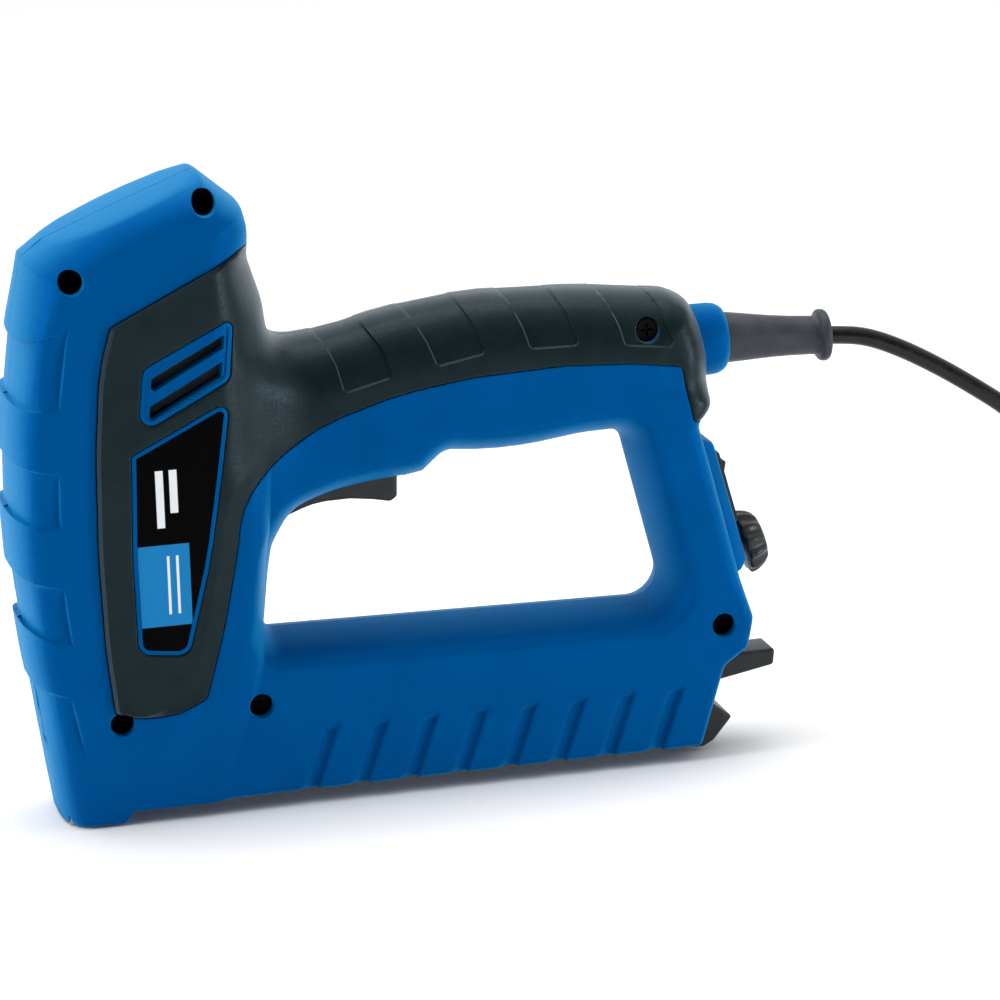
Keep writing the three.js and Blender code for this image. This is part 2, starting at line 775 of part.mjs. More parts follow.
const CORD_PATH = [
  [190, BOSS_AXIS_Z],
  [212, BOSS_AXIS_Z],
  [230, 129.9],
  [246, 128.6],
  [258, 126.9],
  [270, 122],
  [284, 114],
  [298, 104.6],
  [306, 98.6],
].map(([x, z]) => new THREE.Vector3(x, 0, z));

const cordBore = solid(
  sweep([new THREE.Vector3(180, 0, BOSS_AXIS_Z), ...CORD_PATH.slice(1, 6)], CORD_R + GAP, 16, 12),
);
piece("cord_sleeve", cordSleeve().subtract(cordBore), FINISH.rubber);
piece("power_cord", sweep(CORD_PATH, CORD_R, 24, 12), FINISH.cord);

const CORE_R = 1.1;

// Wires from the end of the cord down to the power switch.
for (const [name, side, material] of [
  ["live_core", -1, FINISH.brownWire],
  ["neutral_core", 1, FINISH.blueWire],
]) {
  const path = [
    [188.4, 1.6, BOSS_AXIS_Z],
    [186.2, 2.2, 127],
    [185.4, 3, 118],
    [185.6, 4, 104],
    [187.4, 4.4, 93],
  ].map(([x, y, z]) => new THREE.Vector3(x, side * y, z));
  piece(name, sweep(path, CORE_R, 12, 6), material);
}

// Saddle that two screws pull down on the cord, just inside the handle.
const CLAMP_X = [191.6, 195.6];
const CLAMP_HALF = 9;
const CLAMP_SCREW_X = (CLAMP_X[0] + CLAMP_X[1]) / 2;
const CLAMP_SCREW_Y = [-6, 6];
const CLAMP_SCREW_R = 1;
const clampSaddle = cut(
  slabBox(...CLAMP_X, CLAMP_HALF, BOSS_AXIS_Z - 5.6, BOSS_AXIS_Z - 0.6),
  rod([188, 0, BOSS_AXIS_Z], [200, 0, BOSS_AXIS_Z], CORD_R + GAP, 16),
  ...CLAMP_SCREW_Y.map((y) => rod([CLAMP_SCREW_X, y, 120], [CLAMP_SCREW_X, y, 140], CLAMP_SCREW_R + GAP, 10)),
);
piece("cord_clamp", clampSaddle, FINISH.black);
CLAMP_SCREW_Y.forEach((y, i) => {
  const at = (rise) => [CLAMP_SCREW_X, y, BOSS_AXIS_Z + rise];
  const screw = join(
    rod(at(-6.2), at(4), CLAMP_SCREW_R, 10),
    rod(at(-7.6), at(-5.9), 2 * CLAMP_SCREW_R, 12),
  );
  piece(`cord_clamp_screw_${i + 1}`, screw, FINISH.steel);
});

// ---------------------------------------------------------------- solenoid and driver

const BOBBIN_Z = [84, 134];
const BOBBIN_R = 19.6; // over the flanges
const BARREL_R = 11.9; // the winding goes round this
const FLANGE = 2;
const COIL_END = FLANGE + GAP;
const COIL_R = 19.2;
const BORE_R = 10.1;
const PLUNGER_R = 9.7;
const ROD_R = 3;
const YOKE_PLATE = 3.7;
const YOKE_HALF = 22.6; // half width over the yoke's side plates
const YOKE_REACH = 17; // half length of the yoke

piece(
  "solenoid_bobbin",
  turned(
    [
      [BORE_R, BOBBIN_Z[0]],
      [BOBBIN_R, BOBBIN_Z[0]],
      [BOBBIN_R, BOBBIN_Z[0] + FLANGE],
      [BARREL_R, BOBBIN_Z[0] + FLANGE],
      [BARREL_R, BOBBIN_Z[1] - FLANGE],
      [BOBBIN_R, BOBBIN_Z[1] - FLANGE],
      [BOBBIN_R, BOBBIN_Z[1]],
      [BORE_R, BOBBIN_Z[1]],
      [BORE_R, BOBBIN_Z[0]],
    ],
    SOLENOID_X,
  ),
  FINISH.nylon,
);

piece(
  "solenoid_coil",
  turned(
    [
      [BARREL_R + GAP, BOBBIN_Z[0] + COIL_END],
      [COIL_R, BOBBIN_Z[0] + COIL_END],
      [COIL_R, BOBBIN_Z[1] - COIL_END],
      [BARREL_R + GAP, BOBBIN_Z[1] - COIL_END],
      [BARREL_R + GAP, BOBBIN_Z[0] + COIL_END],
    ],
    SOLENOID_X,
  ),
  FINISH.copper,
);

const yokeLow = BOBBIN_Z[0] - GAP - YOKE_PLATE;
const yokeHigh = BOBBIN_Z[1] + GAP + YOKE_PLATE;
const yoke = cut(
  slabBox(SOLENOID_X - YOKE_REACH, SOLENOID_X + YOKE_REACH, YOKE_HALF, yokeLow, yokeHigh),
  slabBox(SOLENOID_X - 30, SOLENOID_X + 30, 20, BOBBIN_Z[0] - GAP, BOBBIN_Z[1] + GAP),
  rod([SOLENOID_X, 0, yokeLow - 5], [SOLENOID_X, 0, BOBBIN_Z[0] + 5], ROD_R + GAP, 16),
  rod([SOLENOID_X, 0, BOBBIN_Z[1] - 5], [SOLENOID_X, 0, yokeHigh + 5], BORE_R, 28),
);
piece("solenoid_yoke", yoke, FINISH.darkSteel);

const PLUNGER_FOOT = BOBBIN_Z[0] + STROKE;
const RETAINER = { r: 12.8, z: 162, thick: 2.4 }; // collar that the return spring pushes on
const CARRIER_Z = [60, 70];
const ROD_FOOT_Z = CARRIER_Z[0] + 2.3;
piece(
  "plunger",
  turned(
    [
      [0, ROD_FOOT_Z],
      [ROD_R, ROD_FOOT_Z],
      [ROD_R, PLUNGER_FOOT],
      [PLUNGER_R, PLUNGER_FOOT],
      [PLUNGER_R, RETAINER.z],
      [RETAINER.r, RETAINER.z],
      [RETAINER.r, RETAINER.z + RETAINER.thick],
      [0, RETAINER.z + RETAINER.thick],
    ],
    SOLENOID_X,
  ),
  FINISH.steel,
);
const springFoot = [SOLENOID_X, 0, yokeHigh + GAP];
const springHead = [SOLENOID_X, 0, RETAINER.z - GAP];
piece("return_spring", coilSpring(springFoot, springHead, 11.3, 0.8, 5), FINISH.steel);

const BLADE = { thick: 0.6, half: 5, top: CARRIER_Z[1] - 3 }; // half thickness, half width and top
const CARRIER_PIN = { z: 63.5, r: 1, end: 8 };
const carrierPinAt = (x) => [x, 0, CARRIER_PIN.z];
const carrierPinHole = rod(carrierPinAt(BLADE_X - 9), carrierPinAt(8.4), CARRIER_PIN.r + GAP, 10);

// A block centred on the blade, grown all round by a gap.
function bladeBlock(gap, foot) {
  const reach = BLADE.thick + gap;
  return slabBox(BLADE_X - reach, BLADE_X + reach, BLADE.half + gap, foot, BLADE.top + gap);
}

const carrier = cut(
  slabBox(BLADE_X - 3.2, SOLENOID_X + 6, 7, ...CARRIER_Z),
  rod([SOLENOID_X, 0, ROD_FOOT_Z - GAP], [SOLENOID_X, 0, 90], ROD_R + GAP, 16),
  bladeBlock(GAP, CARRIER_Z[0] - 5),
  carrierPinHole,
);
piece("blade_carrier", carrier, FINISH.darkSteel);
const carrierPin = rod(carrierPinAt(BLADE_X - 3), carrierPinAt(CARRIER_PIN.end), CARRIER_PIN.r, 10);
piece("carrier_pin", carrierPin, FINISH.steel);
piece("driver_blade", bladeBlock(0, STROKE + GAP).subtract(carrierPinHole), FINISH.steel);

const LOWER_BUMPER_Z = 38.9;
const UPPER_BUMPER = { x: 20, z: 170.1, r: 5 };
const lowerBumper = slabBox(6, 22, 8, LOWER_BUMPER_Z, CARRIER_Z[0] - STROKE - GAP);
piece("lower_bumper", lowerBumper, FINISH.rubber);
const upperBumperZ = [RETAINER.z + RETAINER.thick + GAP, UPPER_BUMPER.z];
const upperBumperEnds = upperBumperZ.map((z) => [UPPER_BUMPER.x, 0, z]);
piece("upper_bumper", rod(...upperBumperEnds, UPPER_BUMPER.r, 18), FINISH.rubber);

// ---------------------------------------------------------------- nose

// The blade runs between the nose plate and the guide; staples enter through the guide's window.
piece("nose_plate", slabBox(-5, -1, NOSE_PLATE_HALF, 0, NOSE_TOP), FINISH.steel);
const bladeGuide = cut(
  slabBox(1, 3.4, NOSE_PLATE_HALF, 0, NOSE_TOP),
  slabBox(0, 5, 6.3, 5, 16.2),
);
piece("blade_guide", bladeGuide, FINISH.steel);

// ---------------------------------------------------------------- magazine

const MAGAZINE_FOOT = BASE_Z + 0.8;
const CHANNEL_SHEET = 1;
const RAIL_SHEET = 0.9;
const channel = cut(
  slabBox(CHANNEL_X, MAGAZINE_END_X - 1.4, CHANNEL_HALF, MAGAZINE_FOOT, CHANNEL_TOP),
  slabBox(0, MAGAZINE_END_X + 5, CHANNEL_HALF - CHANNEL_SHEET, 0, CHANNEL_TOP - CHANNEL_SHEET),
);
piece("magazine_channel", channel, FINISH.steel);

const rail = cut(
  slabBox(CHANNEL_X + 2 * GAP, MAGAZINE_END_X - GAP, RAIL_HALF, MAGAZINE_FOOT, RAIL_TOP),
  slabBox(0, MAGAZINE_END_X + 5, RAIL_HALF - RAIL_SHEET, 0, RAIL_TOP - RAIL_SHEET),
  slabBox(10, MAGAZINE_END_X - 4, 1.5, 0, 30),
);
piece("staple_rail", rail, FINISH.steel);

const END_CAP_OUTLINE = [
  [MAGAZINE_END_X, 4.9, 0.5],
  [195.6, 1.4, 1],
  [198.6, 1.5, 2],
  [201.8, 3.2, 2],
  [207, 10.4, 1],
  [202.4, 14.9, 1],
  [197.6, 18.6, 1],
  [MAGAZINE_END_X, 18.6, 0.5],
];
piece("magazine_end_cap", prism(END_CAP_OUTLINE, -END_CAP_HALF, END_CAP_HALF), FINISH.black);

const PUSHER_X = [12, 30];
const ROD_Z = 9.4; // axis of the rod that guides the pusher's spring
const PUSHER_ROD_R = 1.2;
const pusher = join(
  cut(
    slabBox(...PUSHER_X, 6.3, 6, 17.6),
    slabBox(0, 60, RAIL_HALF + GAP, 0, RAIL_TOP + GAP),
  ),
  slabBox(...PUSHER_X, 1.1, 11, 17),
  slabBox(...PUSHER_X, 3.2, 6.4, 13.2),
).subtract(rod([0, 0, ROD_Z], [60, 0, ROD_Z], PUSHER_ROD_R + 0.4, 12));
piece("staple_pusher", pusher, FINISH.darkSteel);
piece("pusher_rod", rod([8, 0, ROD_Z], [MAGAZINE_END_X - GAP, 0, ROD_Z], PUSHER_ROD_R, 10), FINISH.steel);
const pusherSpringEnds = [PUSHER_X[1] + GAP, MAGAZINE_END_X - 1].map((x) => [x, 0, ROD_Z]);
piece("pusher_spring", coilSpring(...pusherSpringEnds, 2.3, 0.45, 13, 6), FINISH.steel);

const LATCH_OUTLINE = [
  [185.6, 20.9, 0.5],
  [188.6, 20.9, 0.5],
  [190.4, 24, 1],
  [205, 21.9, 1],
  [221.9, 25.1, 1.2],
  [222.6, 30.4, 1],
  [213.6, 30.2, 2],
  [208.4, 30.4, 4],
  [197, 31.6, 4],
  [185.6, 27, 2],
];
const latchHole = crossRod(LATCH_PIVOT, -20, 20, PIN_HOLE_R, 14);
piece("magazine_latch", prism(LATCH_OUTLINE, -LATCH_HALF, LATCH_HALF).subtract(latchHole), FINISH.black);
piece("latch_pin", crossRod(LATCH_PIVOT, -13.4, 13.4, PIN_R, 12), FINISH.steel);
const latchSpringEnds = [29.6, 34].map((z) => [188.6, 0, z]);
piece("latch_spring", coilSpring(...latchSpringEnds, 2, 0.4, 3, 6), FINISH.steel);

// ---------------------------------------------------------------- trigger and its switch

const TRIGGER_TOP = 108;
const TRIGGER_OUTLINE = [
  [67, 90, 2],
  [76, 92.7, 14],
  [89, 93.4, 14],
  [101.4, 91.3, 2],
  [103.9, 92, 1.4],
  [104.2, 100, 4],
  [105, TRIGGER_TOP, 0.8],
  [66.4, TRIGGER_TOP, 4],
  [65, 99, 4],
];
const TRIGGER_WALL = 2.4;
const triggerSolid = cut(
  prism(TRIGGER_OUTLINE, -TRIGGER_HALF, TRIGGER_HALF),
  crossRod(TRIGGER_PIVOT, -20, 20, PIN_HOLE_R, 14),
  slabBox(76, 102, TRIGGER_HALF - TRIGGER_WALL, 96.4, 105),
  rod([80, 0, 104], [80, 0, 112], 2.6, 14),
);
piece("trigger", triggerSolid, FINISH.black);
piece("trigger_pin", crossRod(TRIGGER_PIVOT, -13.6, 13.6, PIN_R, 12), FINISH.steel);
const triggerSpringEnds = [TRIGGER_TOP + GAP, 119].map((z) => [81, 0, z]);
piece("trigger_spring", coilSpring(...triggerSpringEnds, 2.4, 0.4, 4, 6), FINISH.steel);

const SWITCH_Z = [114.6, 125];
const BUTTON_HALF = 1.5;

// A square bar that is centred on the switch button.
function aboutButton(half, low, high) {
  return slabBox(SWITCH_X - half, SWITCH_X + half, half, low, high);
}

const switchCase = slabBox(SWITCH_X - 7.5, SWITCH_X + 7.5, 4.4, ...SWITCH_Z);
const buttonHole = aboutButton(BUTTON_HALF + GAP, SWITCH_Z[0] - 1, SWITCH_Z[0] + 7);
piece("trigger_switch", switchCase.subtract(buttonHole), FINISH.black);
piece("switch_button", aboutButton(BUTTON_HALF, TRIGGER_TOP + GAP, SWITCH_Z[0] + 3), FINISH.nylon);

// ---------------------------------------------------------------- drive electronics in the lower bar

const BOARD = { x: [78, 168], y: [-7.6, -6], z: [25, 50] };
const CAPACITOR = { x: [92, 122], y: 2.6, z: 38, r: 8 };
const TRIAC = { x: [134, 144.6], y: [-5.6, -1.2], z: [31, 46] };
const SINK = { x: [133, 146.6], y: [-0.9, 0.9], z: [28, 48] };
const SINK_FIN = { count: 4, pitch: 4, thick: 1.6, y: [0.2, 9] };

const blockOf = ({ x, y, z }) => box([x[0], y[0], z[0]], [x[1], y[1], z[1]]);
piece("circuit_board", blockOf(BOARD), FINISH.board);
const [canStart, canEnd] = CAPACITOR.x.map((x) => [x, CAPACITOR.y, CAPACITOR.z]);
piece("capacitor", rod(canStart, canEnd, CAPACITOR.r, 24), FINISH.label);
piece("triac", blockOf(TRIAC), FINISH.black);
const sinkFins = Array.from({ length: SINK_FIN.count }, (_, i) => {
  const from = SINK.x[0] + i * SINK_FIN.pitch;
  return blockOf({ x: [from, from + SINK_FIN.thick], y: SINK_FIN.y, z: SINK.z });
});
piece("heat_sink", join(blockOf(SINK), ...sinkFins), FINISH.aluminium);

export default stapler;
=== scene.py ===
"""Looks of the electric stapler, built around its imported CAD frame.

Lengths in the tables below are millimetres in the tool's own frame: X runs rearward, Y to the tool's
right and Z up, with the origin under the driver blade on the plane that the nose presses on.
"""

import json
import math

import bmesh
import bpy
import numpy as np
from mathutils import Matrix, Vector
from mathutils.geometry import delaunay_2d_cdt


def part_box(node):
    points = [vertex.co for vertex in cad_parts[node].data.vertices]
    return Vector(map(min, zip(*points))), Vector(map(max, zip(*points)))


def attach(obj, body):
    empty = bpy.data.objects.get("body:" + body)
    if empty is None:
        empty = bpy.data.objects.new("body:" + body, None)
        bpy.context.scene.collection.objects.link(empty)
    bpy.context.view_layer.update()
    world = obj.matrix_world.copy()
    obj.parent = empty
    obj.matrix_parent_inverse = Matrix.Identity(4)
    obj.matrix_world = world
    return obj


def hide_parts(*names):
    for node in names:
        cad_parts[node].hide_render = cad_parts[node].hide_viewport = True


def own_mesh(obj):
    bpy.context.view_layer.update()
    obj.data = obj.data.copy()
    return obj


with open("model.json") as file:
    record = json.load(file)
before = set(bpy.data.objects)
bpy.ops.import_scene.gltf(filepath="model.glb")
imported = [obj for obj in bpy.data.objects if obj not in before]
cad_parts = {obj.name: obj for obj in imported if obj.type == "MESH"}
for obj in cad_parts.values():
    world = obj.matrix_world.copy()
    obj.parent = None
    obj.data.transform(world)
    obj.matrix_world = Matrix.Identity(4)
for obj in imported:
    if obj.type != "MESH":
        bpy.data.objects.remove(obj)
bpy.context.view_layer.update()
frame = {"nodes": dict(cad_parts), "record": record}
scene = bpy.context.scene

MM = 0.001
SIDES = (("left", -1), ("right", 1))
EDGE_ANGLE = 38  # degrees between faces at which an edge is drawn sharp
SAME_PLACE = 2e-6  # points closer than this, in metres, are made one
THINNEST = 0.1  # no skin is made where it would be thinner

# ---- driving sizes

HEAD_HALF = -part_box("left_shell")[0].y / MM  # half width of the head, over the soft grip
RAISE = 2.3  # the soft grip stands this far above the blue on the head
BLUE_HALF = HEAD_HALF - RAISE
NOSE_HALF = 20.5
SHOULDER_Z = 110  # height at which the head reaches its full width
FRAME_HALF = 20.5  # half width of the lower bar and the rear strut
HANDLE_HALF = 19
SPLIT = 0.15  # each housing half stops this far from the middle plane
GROOVE = 0.35  # gap between the soft grip and the blue
SOFT_EDGE = 0.35  # radius on the edges of the grip and of its windows
GRIP_DEEP = 1.9
POCKET = 2.2  # the blue lies this far below the grip's surface
WALL = 2.6
SEAT_Y = -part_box("housing_screw_1")[1].y / MM

SCREWS = ((3.8, 171.9), (45.7, 192), (55.4, 33.5), (11.8, 33), (183.2, 138.9), (203.5, 43.5))
SCREW_RECESS_R = 3.8
SCREW_LIP = 0.4  # radius on the edge of each recess
SHADE_SHEET_Y = 24.4  # middle of the black sheet behind each vent, painted shade for the dark inside

CORD_Z = 131  # axis of the cord where it enters the handle
BORE_R = 8.3
CORD_R = 2.9

PANEL_AT = (204.05, 80.25)  # middle of the control panel, on the rear face of the strut
PANEL_LEAN = math.radians(14)
DIAL_U = -18.3  # centre of the dial, up the panel from its middle
ROCKER_U = 3.2

# ---- outlines, as [x, z, corner radius]

# Front of the head at the middle plane, from the nose up.
FRONT_LINE = ((-7, 1), (-14.6, 52), (-17.2, 80), (-17.7, 100), (-16.4, 127), (-12.4, 153.5), (-7.4, 175.8))
# Recessed bands that wrap round the front: top and bottom height, how far the top and bottom edges rise
# towards the side, depth, and the x at the top and bottom of the line on the side where the band ends.
BANDS = (
    (153, 134.8, 6, -1.5, 1.5, 2.3, -2.1), (117, 100.2, -2.6, -3.6, 1.5, -3.3, -3.7),
    (81.6, 65.2, -3.2, -6, 1.6, -3.7, -1.9), (46.2, 28, -3.4, -4, 1.1, -3.3, 0.4),
)
BAND_REACH = 13  # the edges of a band rise over this distance back from the front
LEDGE = 0.5  # height of the step at the edge of a band
NOSE_Z = 30  # a band that comes down past this height fades out towards the nose, without a step

HEAD_REAR_LOW = ((38, -30, 1), (47.5, 17.3, 30), (55.6, 38.8, 40), (60.5, 60.5, 40), (61, 85, 40))
HEAD_REAR_HIGH = ((62.6, 112, 40), (65.4, 145, 30), (64.8, 158, 16), (60.4, 172, 10))
CAP = ((59.5, 188.2, 4), (47.2, 199, 4), (22, 189.7, 200), (-0.8, 180.8, 6), (-7.4, 175.8, 2.5))
# The cap seen from the side if its rounded edges met; between its ends it stands above the ridge.
CAP_RISEN = ((59.5, 188.2, 4), (47.2, 199, 0.5), (16.7, 194.9, 112), (-7.4, 175.8, 0.5))
# Fall of the cap's top beside its ridge, per mm squared: along the cap, and at its rear.
CROWN_CURVE = (0.002, 0.006)

HANDLE_TOP = (
    (192.4, 148.7, 9), (166, 152, 100), (130, 153.3, 60), (103, 150.2, 60), (86, 146, 60), (74, 144.9, 8),
)
NECK = (66.2, 145.2, 6)
REAR = (
    (195.4, 4.5, 2), (203.8, 30, 4), (211.4, 35.2, 3), (213.6, 44.8, 4), (210.2, 57.5, 4),
    (198.5, 107.8, 3), (203.6, 113.2, 5), (205.8, 131, 30), (199.2, 145.8, 9),
)
OPENING = (
    (60.4, 52.9, 3), (189.4, 50.2, 8), (176.7, 105.8, 5), (163, 105.5, 40), (146, 103.4, 60),
    (133, 103.1, 60), (119.6, 104.4, 6), (112.4, 98.4, 4), (106, 97.4, 10), (92, 96.4, 60), (81, 94.2, 40),
    (71, 90.6, 12), (64.6, 80.6, 12), (62.9, 72, 40),
)
OPENING_REACH = 9
GRIP = (
    (10, 35.8, 3), (20.5, 34.2, 16), (29.5, 34.8, 10), (38, 38.6, 3.5), (44.3, 60.5, 90), (49.2, 84, 80),
    (51.8, 101, 20), (65.6, 112, 20), (81, 120.4, 40), (104, 127, 60), (141, 131.9, 150), (179, 129.6, 60),
    (193.4, 127.2, 2), (194.6, 119, 6), (196.4, 109.4, 1), (214, 109.4, 1), (214, 165, 1), (74, 165, 1),
    (70, 177.5, 1), (56.5, 177, 8), (14.7, 157.3, 2), (10.6, 144, 40), (8, 118, 90), (7.2, 88, 90),
    (7.9, 58, 90),
)
VENT = ((20.2, 123.8, 4), (49.9, 138.7, 3.5), (52.3, 158.3, 2.5), (23, 144.6, 4))
VENT_SLOTS = (
    ((24.2, 127.7, 1.2), (47.2, 139.6, 0.5), (47.9, 144.8, 0.5), (24.9, 132.9, 1.2)),
    ((25.2, 136.5, 1.2), (48.2, 148.4, 0.5), (48.9, 152.8, 0.5), (25.8, 141.3, 1.2)),
)
LABEL = (
    (17.2, 55.2, 4.5), (33.2, 53.4, 4.5), (41.2, 83.5, 90), (49.6, 133.4, 3), (18, 118.4, 1.5),
    (16.8, 86, 90),
)
LABEL_RIM = 1.6  # width of the blue rim inside the edge of the label's window
LABEL_GAP = 0.12  # between the label and that rim
# Below the grip's surface: the label's front and back, its seat and the floor of the vent.
LABEL_FACES = (0.35, 1.3)
LABEL_SEAT = 1.5
VENT_FLOOR = 0.7
VENT_RIM = 1.6
# Shallow panels across the top of the handle: corners of each, from the top of its front edge round.
PANEL_CORNERS = (
    ((79.2, 147.5), (82.9, 142.8), (85.2, 137), (86.8, 129), (101.4, 132.4), (99.4, 140.3), (93, 149.6)),
    (
        (106.4, 153.6), (110.6, 148.2), (113.8, 141.5), (116.2, 134.6),
        (131, 137.2), (128.3, 145.3), (122, 156.5),
    ),
    (
        (137.4, 156.5), (141.6, 149.8), (144, 143.4), (145.6, 137.3),
        (160.8, 137), (158.4, 145.2), (152.4, 156),
    ),
    (
        (167.6, 155.2), (172.1, 147.6), (174.5, 141), (175.6, 135.6),
        (191, 133.6), (188.2, 144.4), (182.4, 154.4),
    ),
)
GRIP_PANELS = [[(x, z, 1.2) for x, z in corners] for corners in PANEL_CORNERS]
PANEL_DEEP = 0.8
PANEL_SLOPE = 0.55  # width of the slope round each panel
BEVELS = (0.9, 5.6)  # width of the slope round the soft grip: in general, and behind and below the label

FLUTES = 8
FLUTE_PITCH = 15.76
FLUTE_FOOT = (73.4, 6)
FLUTE_HEAD = (80.6, 25.6)
FLUTE_WIDE = 7.4
FLUTE_DEEP = 1.9

# ---- outline helpers


def rounded(corners, inset=0, arc_step=0.25):
    """Points round an outline whose sides are moved inwards by inset and whose corners are arcs."""
    count = len(corners)
    sides = []
    for i, (x, z, _) in enumerate(corners):
        nx, nz, _ = corners[(i + 1) % count]
        length = math.hypot(nx - x, nz - z)
        ux, uz = (nx - x) / length, (nz - z) / length
        sides.append((ux, uz, x - uz * inset, z + ux * inset))
    points = []
    for i in range(count):
        ax, az, afx, afz = sides[i - 1]
        bx, bz, bfx, bfz = sides[i]
        turn = math.atan2(ax * bz - az * bx, ax * bx + az * bz)
        if abs(turn) < 1e-4:
            points.append((bfx, bfz))
            continue
        reach = ((bfx - afx) * bz - (bfz - afz) * bx) / math.sin(turn)
        cx, cz = afx + ax * reach, afz + az * reach
        hand = math.copysign(1, turn)
        radius = max(0.05, corners[i][2] - hand * inset)
        tangent = radius * math.tan(abs(turn) / 2)
        sx, sz = cx - ax * tangent, cz - az * tangent
        ox, oz = sx - az * radius * hand, sz + ax * radius * hand
        first = math.atan2(sz - oz, sx - ox)
        steps = max(1, math.ceil(abs(turn) / arc_step))
        for k in range(steps + 1):
            angle = first + turn * k / steps
            points.append((ox + radius * math.cos(angle), oz + radius * math.sin(angle)))
    return np.array(points)


def dense(points, spacing, closed=True):
    """The same line with no gap between its points longer than spacing."""
    ends = np.roll(points, -1, 0) if closed else points[1:]
    starts = points if closed else points[:-1]
    out = []
    for a, b in zip(starts, ends):
        pieces = max(1, math.ceil(np.hypot(*(b - a)) / spacing))
        out.extend(a + (b - a) * k / pieces for k in range(pieces))
    if not closed:
        out.append(points[-1])
    return np.array(out)


def inside_by(x, z, ring):
    """Distance from each point to a closed ring, positive inside it."""
    nearest = np.full(x.shape, 1e9)
    within = np.zeros(x.shape, bool)
    for (ax, az), (bx, bz) in zip(ring, np.roll(ring, -1, 0)):
        ex, ez = bx - ax, bz - az
        size = ex * ex + ez * ez
        if size < 1e-12:
            continue
        share = np.clip(((x - ax) * ex + (z - az) * ez) / size, 0, 1)
        nearest = np.minimum(nearest, (x - ax - share * ex) ** 2 + (z - az - share * ez) ** 2)
        if az != bz:
            within ^= ((az > z) != (bz > z)) & (x < ex * (z - az) / ez + ax)
    return np.where(within, 1, -1) * np.sqrt(nearest)


def ramp(value, low, high):
    share = np.clip((value - low) / (high - low), 0, 1)
    return share * share * (3 - 2 * share)


def mix(a, b, share):
    return a + (b - a) * share


def profile(distance, reach, power):
    """Share of the full half width that is left at a distance in from a fully rounded edge."""
    share = np.clip(distance / reach, 0, 1)
    return (1 - (1 - share) ** power) ** (1 / power)


def drop(distance, depth, reach, power=2):
    """How far a rounded edge falls away at a distance in from the outline."""
    return depth * (1 - profile(distance, reach, power))


def smooth_max(a, b, width):
    near = np.clip(width - np.abs(a - b), 0, None) / width
    return np.maximum(a, b) + near * near * width / 4


# ---- outlines worked out from the tables

front_x, front_z = np.array(FRONT_LINE).T


def front_at(z):
    return np.interp(z, front_z, front_x)


HEAD_REAR = (*HEAD_REAR_LOW, *HEAD_REAR_HIGH)
HEAD_FRONT = [(x, z, radius) for (x, z), radius in zip(FRONT_LINE[5:0:-1], (90, 90, 60, 60, 90))]
HEAD, HEAD_RISEN = ((*HEAD_REAR, *cap, *HEAD_FRONT, (-2.4, -30, 1)) for cap in (CAP, CAP_RISEN))
NOSE_FOOT = ((-6.9, 0.5, 2), (10.5, 0.5, 2), (14, 4.5, 2))


def band_corners():
    """The stepped front of the head, from the cap down to the nose."""
    corners = []
    for top, bottom, _, _, deep, _, _ in BANDS:
        corners.append((front_at(top), top, 0.4))
        corners.append((front_at(top - LEDGE) + deep, top - LEDGE, 0.4))
        if bottom > NOSE_Z:
            corners.append((front_at(bottom + LEDGE) + deep, bottom + LEDGE, 0.4))
            corners.append((front_at(bottom), bottom, 0.4))
            corners.append((front_at(bottom - 8), bottom - 8, 40))
        else:
            corners.append((front_at(bottom) + deep / 2, bottom, 60))
    return corners


OUTER = (*NOSE_FOOT, *REAR, *HANDLE_TOP, NECK, *HEAD_REAR_HIGH[2:], *CAP, *band_corners())
LOOP = ((20, 4.5, 1), *REAR, *HANDLE_TOP, NECK, (65, 165, 4), (20, 165, 1))

outer_ring = rounded(OUTER)
head_ring = rounded(HEAD)
risen_ring = rounded(HEAD_RISEN, arc_step=0.1)
loop_ring = rounded(LOOP)
opening_ring = rounded(OPENING)
REGIONS = {
    "grip": [rounded(GRIP)],
    "label": [rounded(LABEL)],
    "vent": [rounded(VENT)],
    "slot": [rounded(slot) for slot in VENT_SLOTS],
    "panel": [rounded(panel) for panel in GRIP_PANELS],
}

# ---- the housing as a field of half widths


def band_masks(x, z):
    """How deep the recessed bands are at each point, in from the front and in from the side."""
    deep = np.zeros(x.shape)
    side = np.zeros(x.shape)
    back = np.clip((x - front_at(z)) / BAND_REACH, 0, 1)
    for top, bottom, top_rise, bottom_rise, depth, x_top, x_bottom in BANDS:
        high = top + top_rise * back
        low = bottom + bottom_rise * back
        middle = (high + low) / 2
        end = mix(x_bottom, x_top, np.clip((z - low) / (high - low), 0, 1))
        stepped = bottom > NOSE_Z
        fade = 1 if stepped else np.clip((z - 10) / 30, 0, 1)
        lower = ramp(z, low - LEDGE, low) if stepped else ramp(z, 4, NOSE_Z)
        mask = lower * (1 - ramp(z, high - LEDGE, high)) * (1 - ramp(x, end - 0.45, end))
        deep += depth * mask * fade
        bulge = np.clip(1 - ((z - middle) / ((high - low) / 2)) ** 2, 0, 1)
        side += 1.5 * mask * np.sqrt(bulge) * ramp(back, 0.35, 0.8)
    return deep, side


def crown(x, z):
    """Half width of the cap's gently curved top at each height below its ridge."""
    ridge = np.array(sorted((x, z) for x, z, _ in CAP))
    slope = (ridge[1, 1] - ridge[0, 1]) / (ridge[1, 0] - ridge[0, 0])
    top = np.interp(x, ridge[:, 0], ridge[:, 1]) + slope * np.minimum(x - ridge[0, 0], 0)
    curve = mix(*CROWN_CURVE, ramp(x, 38, 52))
    return np.sqrt(np.clip(top - z, 0, None) / curve)


